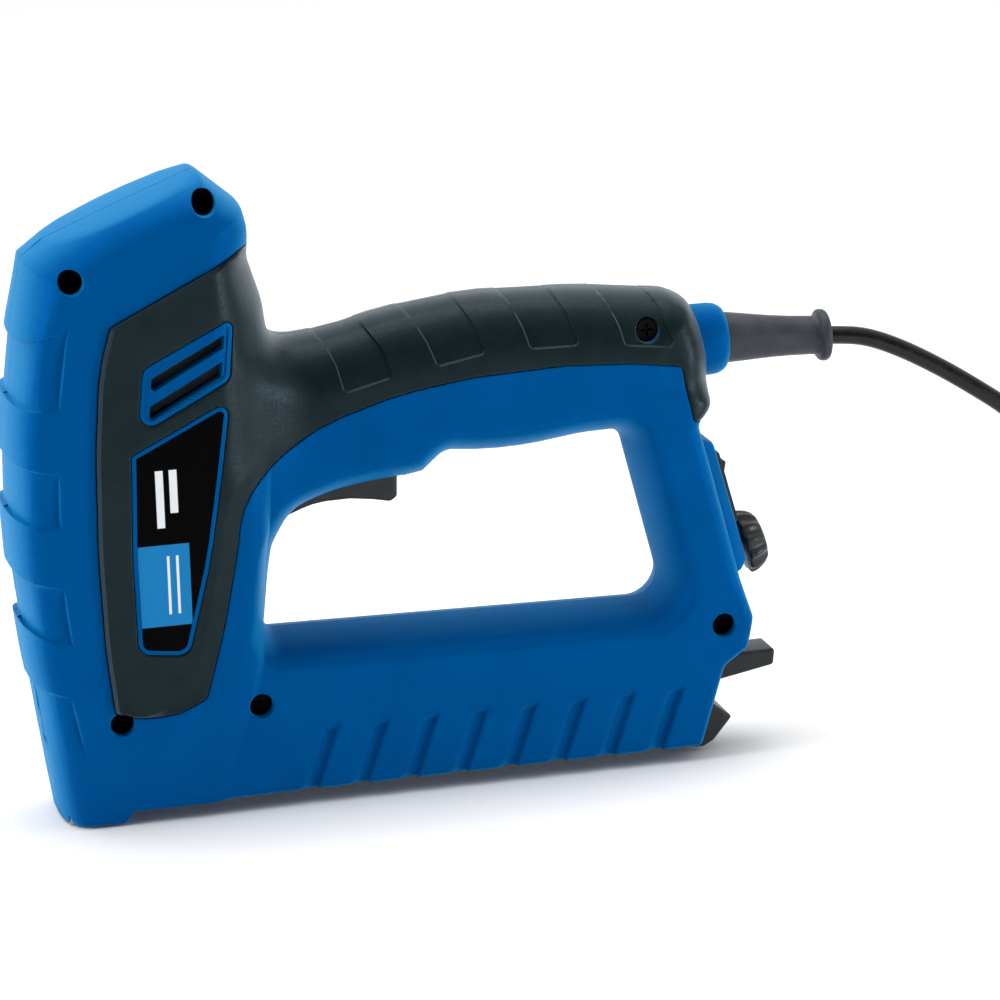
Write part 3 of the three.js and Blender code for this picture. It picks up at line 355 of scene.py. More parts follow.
def head_half(x, z):
    deep, side = band_masks(x, z)
    inside = inside_by(x, z, head_ring)
    risen = inside_by(x, z, risen_ring)
    rear = ramp(x, 24, 44) * (1 - ramp(z, 182, 190))
    high = ramp(z, 92, 125)
    cap = ramp(z, 150, 172)
    wide = NOSE_HALF + (BLUE_HALF - NOSE_HALF) * np.clip(z / SHOULDER_Z, 0, 1)
    depth = mix(wide, mix(wide - 16, 17, high), rear)
    reach = mix(mix(9, 14, cap), mix(9.5, 16, high), rear)
    edge = wide - drop(risen - deep, depth, reach, 2.4)
    height = np.where(z > 165, -smooth_max(-edge, -crown(x, z), 3), edge) - side - drop(z - 0.5, 1.6, 1.6)
    return np.where(inside < 0, height + mix(4, 1.3, high) * inside, height)


def neck_half(x, outer):
    """The soft flow from the head's rear into the handle."""
    share = ramp(x, 44, 78)
    wide = mix(BLUE_HALF, HANDLE_HALF, share)
    return wide - drop(outer, mix(17, HANDLE_HALF, ramp(x, 50, 70)), mix(16, 20, share), 2.2)


def loop_half(x, z, outer):
    wide = mix(FRAME_HALF, HANDLE_HALF, ramp(z, 95, 125))
    top = ramp(z, 110, 122)
    strut = ramp(z, 40, 58)
    end = ramp(x, 186, 198)
    depth = mix(mix(2.6, 5.6, strut), wide, top)
    reach = mix(mix(2.6, 5, strut), mix(21, 13, end), top)
    return wide - drop(outer, depth, reach, 2.2) - flutes(x, z) - 12 * (1 - ramp(x, 14, 34))


def flutes(x, z):
    """Shallow slanted hollows along the lower bar: a soft front side and a crisp rear edge."""
    lean = (FLUTE_HEAD[0] - FLUTE_FOOT[0]) / (FLUTE_HEAD[1] - FLUTE_FOOT[1])
    along = x - FLUTE_FOOT[0] - lean * (z - FLUTE_FOOT[1])
    depth = np.zeros(x.shape)
    for i in range(FLUTES):
        u = along - i * FLUTE_PITCH
        top = FLUTE_HEAD[1] + 0.5 * u / FLUTE_WIDE
        hollow = ramp(u, -FLUTE_WIDE, -FLUTE_WIDE * 0.42) * (1 - ramp(u, -1, 0))
        depth += FLUTE_DEEP * hollow * (1 - ramp(z, top - 3.2, top + 0.6))
    step_at = x - 62 - 0.44 * (z - 18.7)
    return depth + 0.5 * ramp(step_at, -0.6, 1.4) * (1 - ramp(z, 26, 34)) * (x > 45)


def surface_fields(x, z):
    """Everything that the pieces of the housing need to know at each point."""
    outer = inside_by(x, z, outer_ring)
    opening = -inside_by(x, z, opening_ring)
    loop_in = inside_by(x, z, loop_ring)
    half = smooth_max(head_half(x, z), loop_half(x, z, loop_in), 1.6)
    neck = ramp(z, 88, 118) * (1 - ramp(z, 170, 182)) * ramp(x, 36, 50) * (1 - ramp(x, 84, 100))
    half = mix(half, neck_half(x, outer), neck) * profile(opening, OPENING_REACH, 1.6)
    fields = {name: np.max([inside_by(x, z, ring) for ring in rings], 0) for name, rings in REGIONS.items()}
    screw = np.min([np.hypot(x - sx, z - sz) for sx, sz in SCREWS], 0)
    return dict(fields, x=x, z=z, outer=outer, opening=opening, half=np.maximum(half, 0.6), screw=screw)


# ---- triangulation of the side view

GRID = 1.35  # spacing of the points between the feature lines
CELL = 0.75  # points of the grid keep about this far from a feature line


def runs(points, keep=None):
    """Splits a closed line into the stretches whose points are to be kept; at first that is all of it."""
    points = np.vstack([points, points[:1]])
    if keep is None:
        return [points]
    flags = keep(points[:, 0], points[:, 1])
    cuts = np.flatnonzero(np.diff(flags)) + 1
    parts = zip(np.split(points, cuts), np.split(flags, cuts))
    return [part for part, kept in parts if kept[0] and len(part) > 1]


def feature_lines():
    """Lines that edges of the mesh must follow, so that steps and rounded edges are crisp."""
    lines = []

    def ring(corners, insets, spacing=1, keep=None):
        for inset in insets:
            lines.extend(runs(dense(rounded(corners, inset), spacing), keep))

    def straight(start, end, spacing):
        lines.append(dense(np.array([start, end]), spacing, False))

    ring(OUTER, (0, POCKET, WALL), 1.3)
    head_insets = (0.03, 0.12, 0.35, 0.7, 1.12, 1.3, 1.7, 2.6, 3.6, 4.9, 6.6, 8.6)
    ring(HEAD, head_insets, 1.3, lambda x, z: z > 0.6)
    ring(HEAD, (10.8, 13.2, 16), 1.3, lambda x, z: (x > 30) & (z > 0.6))
    ring(LOOP, (0.03, 0.12, 0.4, 0.9, 1.6, 2.9, 4.2, 5.4), 1.3, lambda x, z: x > 30)
    ring(LOOP, (7.2, 9.6, 12.5, 16, 20), 1.3, lambda x, z: (z > 112) & (x > 60))
    ring(OPENING, (0, -0.05, -0.25, -0.7, -1.4, -2.3, -WALL, -3.4, -4.8, -6.4, -8.6, -11), 1.6)
    seam_insets = (-GROOVE - 1, -GROOVE - 0.35, -GROOVE - 0.12, -GROOVE, 0, 0.12, 0.35)
    ring(GRIP, (*seam_insets, *BEVELS), 1.2)
    ring(LABEL, (0, -0.12, -0.35, GROOVE, GROOVE + 0.12, GROOVE + 0.35))
    ring(LABEL, (LABEL_RIM - 0.25, LABEL_RIM, LABEL_RIM + LABEL_GAP, LABEL_RIM + 0.3))
    ring(VENT, (0, -0.12, -0.35, GROOVE, GROOVE + 0.15, GROOVE + 0.4, VENT_RIM, VENT_RIM + 0.3))
    for slot in VENT_SLOTS:
        ring(slot, (0, -0.2, -0.5))
    for panel in GRIP_PANELS:
        ring(panel, (-PANEL_SLOPE, 0, 0.2))
    turn = np.linspace(0, 2 * math.pi, 29)[:-1]
    for sx, sz in SCREWS:
        for radius in (SCREW_RECESS_R, SCREW_RECESS_R + 0.2, SCREW_RECESS_R + 0.6):
            lines.extend(runs(np.stack([sx + radius * np.cos(turn), sz + radius * np.sin(turn)], 1)))
    for top, bottom, top_rise, bottom_rise, _, x_top, x_bottom in BANDS:
        edges = [(top, top_rise, x_top)]
        if bottom > NOSE_Z:
            edges.append((bottom, bottom_rise, x_bottom))
        for start, rise, end in edges:
            x = mix(front_at(start), end, np.linspace(0, 1, 14))
            back = np.clip((x - front_at(start)) / BAND_REACH, 0, 1)
            lines.extend(np.stack([x, start + shift + rise * back], 1) for shift in (0, -LEDGE))
        for shift in (-0.8, -0.45, 0, 0.3):
            straight((x_top + shift, top + top_rise), (x_bottom + shift, bottom + bottom_rise), 1.3)
    for i in range(FLUTES):
        for u in (-FLUTE_WIDE, -FLUTE_WIDE * 0.7, -FLUTE_WIDE * 0.42, -1, -0.5, 0):
            foot = (FLUTE_FOOT[0] + i * FLUTE_PITCH + u - 0.7, FLUTE_FOOT[1] - 2)
            straight(foot, (FLUTE_HEAD[0] + i * FLUTE_PITCH + u + 0.2, FLUTE_HEAD[1] + 0.6), 1.2)
    for outline, _ in ROOMS:
        ring(outline, (0,), 1.5)
    return lines


def block(low_x, low_z, high_x, high_z, radius=0):
    return [(x, z, radius) for x, z in ((low_x, low_z), (high_x, low_z), (high_x, high_z), (low_x, high_z))]


def on_panel(n, u):
    """A point of the side view, from its distance out of the panel and its height up the panel."""
    sin, cos = math.sin(PANEL_LEAN), math.cos(PANEL_LEAN)
    return PANEL_AT[0] + n * cos - u * sin, PANEL_AT[1] + n * sin + u * cos


# Rooms that open through the rim of the halves: outline and half width. The last is a round bore.
ROOMS = (
    (block(184, 18, 230, 34.4), 7.6),
    (block(3.7, -5, 230, 20.2), 8.4),
    (block(190, -5, 230, 20.4), 10.6),
    (block(-5.4, -5, 4, 46), 14.4),
    (block(64, 84, 106.2, 116), 8.3),
    (tuple((*on_panel(n, u), 0) for n, u in ((-5.3, -22.9), (9, -24.4), (9, 23), (-5.3, 22.6))), 14.3),
    (block(184, CORD_Z - BORE_R, 220, CORD_Z + BORE_R), -1),
)


def triangulate():
    """Triangles over the whole side view: lines of the features, and a grid in between."""
    taken = set()
    coords, edges = [], []
    for line in feature_lines():
        base = len(coords)
        coords.extend(map(tuple, line))
        edges.extend((base + i, base + i + 1) for i in range(len(line) - 1))
        for x, z in dense(line, 0.5, False):
            taken.add((round(x / CELL), round(z / CELL)))
    # Rows of a triangular grid over the tool's whole length and height, with every second row shifted.
    for row, z in enumerate(np.arange(0, 200, GRID * 0.87)):
        for x in np.arange(-18, 214, GRID) + (row % 2) * GRID / 2:
            if (round(x / CELL), round(z / CELL)) not in taken:
                coords.append((x, z))
    verts, _, faces, *_ = delaunay_2d_cdt([Vector(point) for point in coords], edges, [], 0, 0.02, False)
    places = np.array([(v.x, v.y) for v in verts])
    tris = np.array([face for face in faces if len(face) == 3])
    a, b, c = (places[tris[:, i]] for i in range(3))
    area = (b[:, 0] - a[:, 0]) * (c[:, 1] - a[:, 1]) - (c[:, 0] - a[:, 0]) * (b[:, 1] - a[:, 1])
    tris[area < 0] = tris[area < 0][:, ::-1]
    tris = tris[np.abs(area) > 1e-5]
    middles = places[tris].mean(1).T
    return places, tris[(inside_by(*middles, outer_ring) > 0) & (inside_by(*middles, opening_ring) < 0)]


# ---- closed pieces from the triangulation


def closed_piece(name, places, tris, codes, top_of, bottom_of, side):
    """A closed mesh between two height fields. Where they step, at a change of code, walls join them."""
    pairs = np.stack([tris.ravel(), np.repeat(codes, 3)], 1)
    unique, index = np.unique(pairs, axis=0, return_inverse=True)
    index = index.reshape(-1, 3)
    vertex, code = unique[:, 0], unique[:, 1]
    top, bottom = top_of(vertex, code), bottom_of(vertex, code)
    thick = (top - bottom)[index].min(1) > THINNEST
    index, tris, codes = index[thick], tris[thick], codes[thick]
    count = len(unique)
    x, z = places[vertex, 0], places[vertex, 1]
    coords = np.concatenate([np.stack([x, side * top, z], 1), np.stack([x, side * bottom, z], 1)])
    faces = index.tolist() + (index[:, ::-1] + count).tolist()
    owner = {}
    for t in range(len(tris)):
        for k in range(3):
            owner[(tris[t, k], tris[t, (k + 1) % 3])] = (index[t, k], index[t, (k + 1) % 3])
    for (i, j), (a, b) in owner.items():
        other = owner.get((j, i))
        if other is None:
            faces.append((b, a, a + count, b + count))
        elif other[1] != a and i < j:
            d, c = other
            faces.append((b, a, c, d))
            faces.append((a + count, b + count, d + count, c + count))
    if side > 0:
        faces = [face[::-1] for face in faces]
    return piece_of(name, coords, faces)


def smooth(mesh, angle=EDGE_ANGLE):
    """Shades smooth, with sharp edges where faces meet at more than the angle."""
    mesh.polygons.foreach_set("use_smooth", [True] * len(mesh.polygons))
    mesh.set_sharp_from_angle(angle=math.radians(angle))


def piece_of(name, coords, faces, angle=EDGE_ANGLE, turn_out=False):
    """A linked object, from points in mm, without doubled or loose points."""
    mesh = bpy.data.meshes.new(name)
    mesh.from_pydata((np.array(coords) * MM).tolist(), [], faces)
    work = bmesh.new()
    work.from_mesh(mesh)
    bmesh.ops.remove_doubles(work, verts=work.verts, dist=SAME_PLACE)
    if turn_out:
        bmesh.ops.recalc_face_normals(work, faces=work.faces)
    loose = [v for v in work.verts if not v.link_faces]
    bmesh.ops.delete(work, geom=loose, context="VERTS")
    work.to_mesh(mesh)
    work.free()
    smooth(mesh, angle)
    return linked(name, mesh)


def linked(name, data):
    obj = bpy.data.objects.new(name, data)
    scene.collection.objects.link(obj)
    return obj


def edge_round(inside, radius=SOFT_EDGE):
    """Rounding next to the edge of a region; inside is the distance in from that edge."""
    return drop(inside, radius, radius)


def housing_pieces():
    places, tris = triangulate()
    at = surface_fields(*places.T)
    middles = places[tris].mean(1).T
    mid = surface_fields(*middles)
    on_head = 1 - ramp(at["x"], 46, 60)
    bevel = mix(*BEVELS, ramp(at["x"], 18, 30) * (1 - ramp(at["z"], 100, 125)))
    raised = RAISE * np.clip(at["grip"] / bevel, 0, 1) * on_head
    window, mid_window = (np.maximum(field["label"], field["vent"]) for field in (at, mid))
    grip_top = at["half"] + raised - PANEL_DEEP * np.clip(at["panel"] / PANEL_SLOPE + 1, 0, 1)
    in_grip = (mid["grip"] > 0) & (mid_window < 0)
    covered = (mid["grip"] > -GROOVE) & (mid_window < GROOVE)
    depth_in = np.minimum(mid["outer"], mid["opening"])

    rooms = np.zeros(len(tris), int)
    for number, (outline, _) in enumerate(ROOMS, 1):
        rooms[inside_by(*middles, rounded(outline)) > 0] = number

    def room_half(vertex, room):
        bore = np.sqrt(np.clip(BORE_R**2 - (at["z"][vertex] - CORD_Z) ** 2, 0, None))
        wide = np.array([0] + [half for _, half in ROOMS])[room]
        return np.where(wide < 0, bore, wide)

    for side_name, side in SIDES:
        holes = (mid["screw"] < SCREW_RECESS_R) if side < 0 else np.zeros(len(tris), bool)

        # Surface kinds: 1 open blue, 2 under the grip, 3 label seat, 4 vent floor, 5 screw recess. A code
        # holds the kind, whether the place is in the rim where the halves meet, and its room.
        kind = np.ones(len(tris), int)
        kind[covered] = 2
        kind[mid["label"] > LABEL_RIM] = 3
        kind[mid["vent"] > VENT_RIM] = 4
        kind[holes] = 5
        exists = (mid["slot"] < 0) & ~((kind == 2) & (depth_in < POCKET))
        rim = depth_in < np.where(kind == 2, POCKET + WALL, WALL)
        code = kind + 10 * rim + 100 * rooms

        def made(part, chosen, code, top_of, bottom_of):
            name = f"{side_name}_{part}"
            return closed_piece(name, places, tris[chosen], code[chosen], top_of, bottom_of, side)

        def lip(vertex):
            return edge_round(at["screw"][vertex] - SCREW_RECESS_R, SCREW_LIP) if side < 0 else 0

        def shell_top(vertex, code):
            kind = code % 10
            half, grip = at["half"][vertex], at["grip"][vertex]
            seam = edge_round(np.maximum(-grip - GROOVE, window[vertex] - GROOVE))
            rise = np.where(window[vertex] > 0, raised[vertex] - 0.1, 0)
            open_blue = half + rise - np.where(grip > -2, seam, 0) - lip(vertex)
            floor = half + raised[vertex]
            screw_seat = np.full_like(half, SEAT_Y)
            tops = [open_blue, half - POCKET, floor - LABEL_SEAT, floor - VENT_FLOOR, screw_seat]
            return np.choose(kind - 1, tops)

        def shell_bottom(vertex, code):
            kind, rim, room = code % 10, code // 10 % 10, code // 100
            inner = at["half"][vertex] - np.where(kind == 2, POCKET, 1) - WALL
            inner = np.where(kind == 5, SEAT_Y - WALL, inner)
            return np.maximum(np.where(rim, SPLIT, np.maximum(inner, SPLIT)), room_half(vertex, room))

        grip_code = (depth_in < GRIP_DEEP) + 100 * np.where(rooms == len(ROOMS), rooms, 0)
        grip_code[mid["panel"] > -PANEL_SLOPE] += 10

        def grip_top_of(vertex, code):
            seam = edge_round(np.minimum(at["grip"][vertex], -window[vertex]))
            return grip_top[vertex] - seam - lip(vertex)

        def grip_bottom(vertex, code):
            base = np.where(code % 10, SPLIT, np.maximum(at["half"][vertex] - GRIP_DEEP, SPLIT))
            return np.maximum(base, room_half(vertex, code // 100))

        def below_grip(depth):
            return lambda vertex, code: at["half"][vertex] + raised[vertex] - depth

        shell = made("shell_skin", exists, code, shell_top, shell_bottom)
        grip = made("grip_skin", in_grip & ~holes, grip_code, grip_top_of, grip_bottom)
        plate = mid["label"] > LABEL_RIM + LABEL_GAP
        label = made("label_plate", plate, 0 * kind, *map(below_grip, LABEL_FACES))
        yield side_name, side, shell, grip, label


# ---- turned, swept and moulded pieces


def plain(x, y, z):
    return x, y, z


def panel_frame(n, y, u):
    x, z = on_panel(n, u)
    return x, y, z


def loft(name, rings, place=plain, angle=EDGE_ANGLE, joined=False):
    """A closed skin through rings of equal counts, capped at both ends or joined into a loop."""
    size = len(rings[0])
    coords = [place(*point) for ring in rings for point in ring]
    faces = []
    last = len(rings) if joined else len(rings) - 1
    for k in range(last):
        near, far = k * size, (k + 1) % len(rings) * size
        faces.extend((near + j, near + (j + 1) % size, far + (j + 1) % size, far + j) for j in range(size))
    if not joined:
        faces.append(tuple(range(size)))
        faces.append(tuple(range((len(rings) - 1) * size, len(rings) * size)))
    return piece_of(name, coords, faces, angle, turn_out=True)


def slab(name, corners, half, edge, place=plain):
    """A moulded plate across the tool with rounded edges; its outline lies in the side view."""
    turns = [step / 5 * math.pi / 2 for step in range(6)]
    rings = []
    for side, turn in [(1, turn) for turn in turns[::-1]] + [(-1, turn) for turn in turns]:
        y = side * (half - edge * (1 - math.sin(turn)))
        rings.append([(x, y, z) for x, z in rounded(corners, edge * (1 - math.cos(turn)), 0.2)])
    return loft(name, rings, place)


def turns_of(count):
    return [2 * math.pi * k / count for k in range(count)]


def circle(centre, first, second, radius, sides):
    """Points round a centre, in the plane of two unit vectors."""
    return [tuple(centre + (first * math.cos(t) + second * math.sin(t)) * radius) for t in turns_of(sides)]


def axes_of(start, end):
    """Unit vectors along a line and at right angles to it."""
    axis = (end - start).normalized()
    first = axis.orthogonal().normalized()
    return axis, first, axis.cross(first)


def rod(name, start, end, radius, place=plain):
    start, end = Vector(start), Vector(end)
    _, first, second = axes_of(start, end)
    return loft(name, [circle(centre, first, second, radius, 32) for centre in (start, end)], place)


def carve(obj, *tools):
    """Takes the tools out of an object and removes them."""
    for tool in tools:
        cut = obj.modifiers.new("cut", "BOOLEAN")
        cut.object = tool
        cut.operation = "DIFFERENCE"
        cut.solver = "EXACT"
    depsgraph = bpy.context.evaluated_depsgraph_get()
    mesh = bpy.data.meshes.new_from_object(obj.evaluated_get(depsgraph))
    obj.modifiers.clear()
    obj.data = mesh
    for tool in tools:
        bpy.data.objects.remove(tool)
    smooth(mesh)
    return obj


def tube(name, centres, radius, sides):
    """A round bar along a line of points that stays close to one plane."""
    points = [Vector(point) for point in centres]
    rings = []
    for i, point in enumerate(points):
        ahead = (points[min(i + 1, len(points) - 1)] - points[max(i - 1, 0)]).normalized()
        across = ahead.cross(Vector((0, 0, 1)))
        across = across.normalized() if across.length > 1e-3 else Vector((0, 1, 0))
        rings.append(circle(point, across, across.cross(ahead), radius, sides))
    return loft(name, rings)


def smooth_path(points, steps=8):
    """Catmull-Rom points through a list."""
    padded = [2 * points[0] - points[1], *points, 2 * points[-1] - points[-2]]
    out = []
    for a, b, c, d in zip(padded, padded[1:], padded[2:], padded[3:]):
        for k in range(steps):
            t = k / steps
            square = (2 * a - 5 * b + 4 * c - d) * t * t
            cube = (3 * b - a - 3 * c + d) * t**3
            out.append(0.5 * (2 * b + (c - a) * t + square + cube))
    return [*out, points[-1]]


def coil(name, start, end, radius, wire, turns, steps=26, sides=8):
    """A coil spring of round wire whose last turn at each end lies flat."""
    start, end = Vector(start), Vector(end)
    axis, first, second = axes_of(start, end)
    length = (end - start).length - 2 * wire
    count = int(turns * steps)
    rings = []
    for i in range(count + 1):
        angle = 2 * math.pi * i / steps
        share = np.clip((i / steps - 0.75) / (turns - 1.5), 0, 1)
        radial = first * math.cos(angle) + second * math.sin(angle)
        centre = start + axis * (wire + length * share) + radial * radius
        rings.append(circle(centre, radial, axis, wire, sides))
    return loft(name, rings)


# ---- the pieces at the rear and in the grip

PIN_HOLE_R = 1.8
SLEEVE_X = 196  # front end of the sleeve, inside the handle
SLEEVE_BEND = 16  # the sleeve droops from this far along it
SLEEVE_DROOP = 0.0672  # fall for each mm beyond that
TRIGGER = (
    (66.6, 88.4, 2), (77, 92.2, 24), (89, 93.2, 50), (101.6, 90.6, 2), (103.8, 92, 1.4), (104.2, 100, 4),
    (105, 108, 0.8), (66.4, 108, 4), (65, 99, 4),
)
LATCH = (
    (185.6, 20.9, 0.6), (188.6, 20.9, 0.6), (190.4, 24, 1), (205, 21.9, 1), (223, 25.1, 1.2),
    (223.7, 30.4, 1), (213.6, 30.2, 2), (208.4, 30.4, 4), (197, 31.6, 4), (185.6, 27, 2),
)
END_CAP = (
    (191, 4.9, 0.6), (195.6, 1.4, 1), (198.6, 1.5, 2), (201.8, 3.2, 2), (208.1, 10.4, 0.9),
    (202.4, 14.9, 1), (197.6, 18.6, 1), (191, 18.6, 0.6),
)
ROCKER = (
    (-0.6, -3, 2), (4.6, -7.6, 0.7), (6.4, -7.6, 0.7), (5.4, 0, 14), (8.9, 7.6, 0.7), (7.2, 7.6, 0.7),
    (-0.6, 3, 2),
)


def hole_across(x, z, radius):
    return rod("hole", (x, -20, z), (x, 20, z), radius)


def trigger():
    return carve(
        slab("trigger_skin", TRIGGER, 8, 1.5),
        hole_across(71, 103.5, PIN_HOLE_R),
        rod("spring_pocket", (80, 0, 104), (80, 0, 112), 2.9),
        rod("button_pocket", (93.5, 0, 107.4), (93.5, 0, 112), 3.8),
    )


def magazine_latch():
    return carve(slab("magazine_latch_skin", LATCH, 7, 0.9), hole_across(197, 27.6, PIN_HOLE_R))


def magazine_end_cap():
    return slab("magazine_end_cap_skin", END_CAP, 10, 1)


def power_rocker():
    corners = [(n, u + ROCKER_U, radius) for n, u, radius in ROCKER]
    return slab("power_rocker_skin", corners, 5.6, 0.5, panel_frame)


def rounded_block(n, half, low_u, high_u, radius):
    return [(n, y, u) for y, u in rounded(block(-half, low_u, half, high_u, radius), 0, 0.3)]


def control_panel():
    """Raised panel whose four sides slope in to a flat face that holds the switch and the dial."""
    levels = (
        (-4.8, 13.95, -22.4, 22, 1), (0.4, 13.95, -22.8, 22, 1), (1, 13.8, -22.8, 21.9, 1),
        (2.4, 12.9, -22.8, 21.4, 1.4), (4.5, 11.7, -21.4, 19.9, 1.6), (5, 11.2, -20.9, 19.4, 1.5),
        (5.2, 10.6, -20.3, 18.8, 1.3),
    )
    piece = loft("control_panel_skin", [rounded_block(*level) for level in levels], panel_frame)
    hollow = [rounded_block(n, 11.4, -20.6, 19.4, 1) for n in (-7, 2.4)]
    mouth = [rounded_block(n, 7.4, ROCKER_U - 10.1, ROCKER_U + 10.1, 0.6) for n in (-7, 9)]
    return carve(
        piece,
        loft("hollow", hollow, panel_frame),
        loft("mouth", mouth, panel_frame),
        rod("shaft_hole", (-7, 0, DIAL_U), (9, 0, DIAL_U), 3.3, panel_frame),
    )


def power_dial():
    """Knob with scalloped sides and a dished end, turned about the panel's normal."""
    lobes = 12
    levels = (
        (6.9, 9, 0.3), (7.1, 9.6, 0.5), (7.6, 10.1, 0.8), (8.6, 10.15, 0.95), (10, 9.8, 1.1),
        (11.6, 9.1, 1), (12.8, 8.3, 0.8), (13.5, 7.5, 0.4), (13.8, 6.6, 0.1), (13.7, 5.6, 0),
        (13.3, 4.6, 0), (13.2, 1, 0),
    )
    rings = []
    for n, radius, wave in levels:
        ring = []
        for angle in turns_of(lobes * 12):
            reach = radius - wave * abs(math.cos(lobes * angle / 2)) ** 1.6
            ring.append((n, reach * math.cos(angle), DIAL_U + reach * math.sin(angle)))
        rings.append(ring)
    knob = loft("power_dial_skin", rings, panel_frame, 30)
    return carve(knob, rod("shaft_hole", (6, 0, DIAL_U), (11.6, 0, DIAL_U), 3.1, panel_frame))


def cord_sleeve():
    """Strain relief: a collar held in the handle, a tapered tail and a thin end flange."""
    outer = (
        (0, 7.6), (3.9, 7.6), (4, 9.4), (8, 9.4), (8.1, 7.9), (14, 8), (17, 7.95), (21, 7.6), (26, 7.1),
        (31, 6.65), (37, 6.3), (44, 6.1), (45.4, 6.15), (46, 6.5), (46.3, 7.4), (46.8, 8), (47.6, 8.2),
        (48.6, 8.15), (49.3, 7.7), (49.6, 6.9), (49.3, 5.8), (49.1, 4.2), (48.6, 3.25),
    )
    inner = [(along, 3.25) for along in (40, 30, 20, 10, 0)]
    rings = []
    for along, radius in (*outer, *inner):
        x = SLEEVE_X + along
        centre = CORD_Z - max(0, along - SLEEVE_BEND) * SLEEVE_DROOP
        rings.append([(x, radius * math.cos(t), centre + radius * math.sin(t)) for t in turns_of(48)])
    return loft("cord_sleeve_skin", rings, joined=True)


def power_cord():
    path = ((190, 131), (212, 131), (230, 129.9), (246, 128.6), (258, 126.9), (270, 122), (284, 114))
    path += ((298, 104.6), (306, 98.6))
    return tube("power_cord_skin", smooth_path([Vector((x, 0, z)) for x, z in path]), CORD_R, 24)


def vent_screen(side_name, side):
    """Black sheet close behind the slots of one side: painted shade that makes the slots look dark inside."""
    corners = [(x, z, 1) for x, z in rounded(VENT, 2.2, 1.6)]
    return slab(f"vent_screen_{side_name}", corners, 0.4, 0.1, lambda x, y, z: (x, side * SHADE_SHEET_Y + y, z))


def circuit_board():
    """Board with cut corners and fixing holes, a little lower than the bar's inside."""
    low_x, high_x, low_z, high_z = 78, 168, 25, 47.2
    cut = 6
    corners = ((low_x, low_z), (high_x, low_z), (high_x, high_z - cut), (high_x - cut, high_z))
    corners += ((low_x + cut, high_z), (low_x, high_z - cut))
    outline = [(x, z, 0.6) for x, z in corners]
    board = slab("circuit_board_skin", outline, 0.8, 0.12, lambda x, y, z: (x, y - 6.8, z))
    return carve(board, *(hole_across(x, low_z + 3, 1.2) for x in (low_x + 3, high_x - 3)))


def cord_boss(side):
    """Half of the round boss that the sleeve comes out of; its mouth is rounded."""
    levels = (
        (197, 11.3, 8.4), (199.6, 11.3, 8.4), (199.6, 11.3, 10), (204.4, 11.3, 10), (204.4, 11.3, 8.4),
        (207, 11.3, 8.4), (209, 11, 8.4), (210.3, 10.4, 8.4), (211.2, 9.6, 8.45), (211.5, 9, 8.6),
    )
    rings = []
    for x, outer, inner in levels:
        ring = []
        for radius, order in ((outer, 1), (inner, -1)):
            edge = math.asin(SPLIT / radius)
            turns = np.linspace(edge, math.pi - edge, 33)[::order]
            ring.extend((x, side * radius * math.sin(t), CORD_Z + radius * math.cos(t)) for t in turns)
        rings.append(ring)
    return loft("boss", rings)


def join_into(whole, part):
    """Adds a piece's mesh to another's, so that both are one piece."""
    work = bmesh.new()
    work.from_mesh(whole.data)
    work.from_mesh(part.data)
    work.to_mesh(whole.data)
    work.free()
    bpy.data.objects.remove(part)
    smooth(whole.data)


# ---- materials


def srgb(red, green, blue):
    def linear(value):
        value /= 255
        return value / 12.92 if value <= 0.04045 else ((value + 0.055) / 1.055) ** 2.4

    return (linear(red), linear(green), linear(blue), 1)


def feed(tree, socket, value):
    """Gives an input a value, or links an output to it."""
    if isinstance(value, bpy.types.NodeSocket):
        tree.links.new(value, socket)
    else:
        socket.default_value = value


def add_node(tree, kind, inputs, **settings):
    node = tree.nodes.new("ShaderNode" + kind)
    for setting, value in settings.items():
        setattr(node, setting, value)
    for socket, value in inputs.items():
        feed(tree, node.inputs[socket], value)
    return node


class Surface:
    """A Principled material and short ways to add nodes to it."""

    def __init__(self, name, metallic=0, specular=0.5):
        self.material = bpy.data.materials.new(name)
        self.material.use_nodes = True
        self.place = self.add("TexCoord", {}).outputs["Object"]
        self.set("Metallic", metallic)
        self.set("Specular IOR Level", specular)

    def add(self, kind, inputs, **settings):
        return add_node(self.material.node_tree, kind, inputs, **settings)

    def set(self, socket, value):
        tree = self.material.node_tree
        feed(tree, tree.nodes["Principled BSDF"].inputs[socket], value)

    def noise(self, size_mm, detail=2):
        inputs = {"Scale": 1 / (size_mm * MM), "Detail": detail, "Vector": self.place}
        return self.add("TexNoise", inputs).outputs["Fac"]

    def span(self, value, low, high, low_in=0.3, high_in=0.7):
        inputs = {"Value": value, "From Min": low_in, "From Max": high_in, "To Min": low, "To Max": high}
        return self.add("MapRange", inputs).outputs["Result"]

    def blend(self, share, a, b):
        return self.add("Mix", {0: share, 6: a, 7: b}, data_type="RGBA").outputs[2]

    def mottled(self, size_mm, detail, a, b):
        """Soft patches of two colours."""
        return self.blend(self.span(self.noise(size_mm, detail), 0, 1), a, b)

    def turned(self, color, edge, blend, low, high):
        """Painted sheen: a colour that goes over to another one where the surface turns away from view."""
        facing = self.add("LayerWeight", {"Blend": blend}).outputs["Facing"]
        return self.blend(self.span(facing, 0, 1, low, high), color, edge)

    def product(self, a, b):
        return self.add("Math", {0: a, 1: b}, operation="MULTIPLY").outputs[0]

    def bump(self, height, distance_mm):
        inputs = {"Strength": 1, "Distance": distance_mm * MM, "Height": height}
        self.set("Normal", self.add("Bump", inputs).outputs["Normal"])


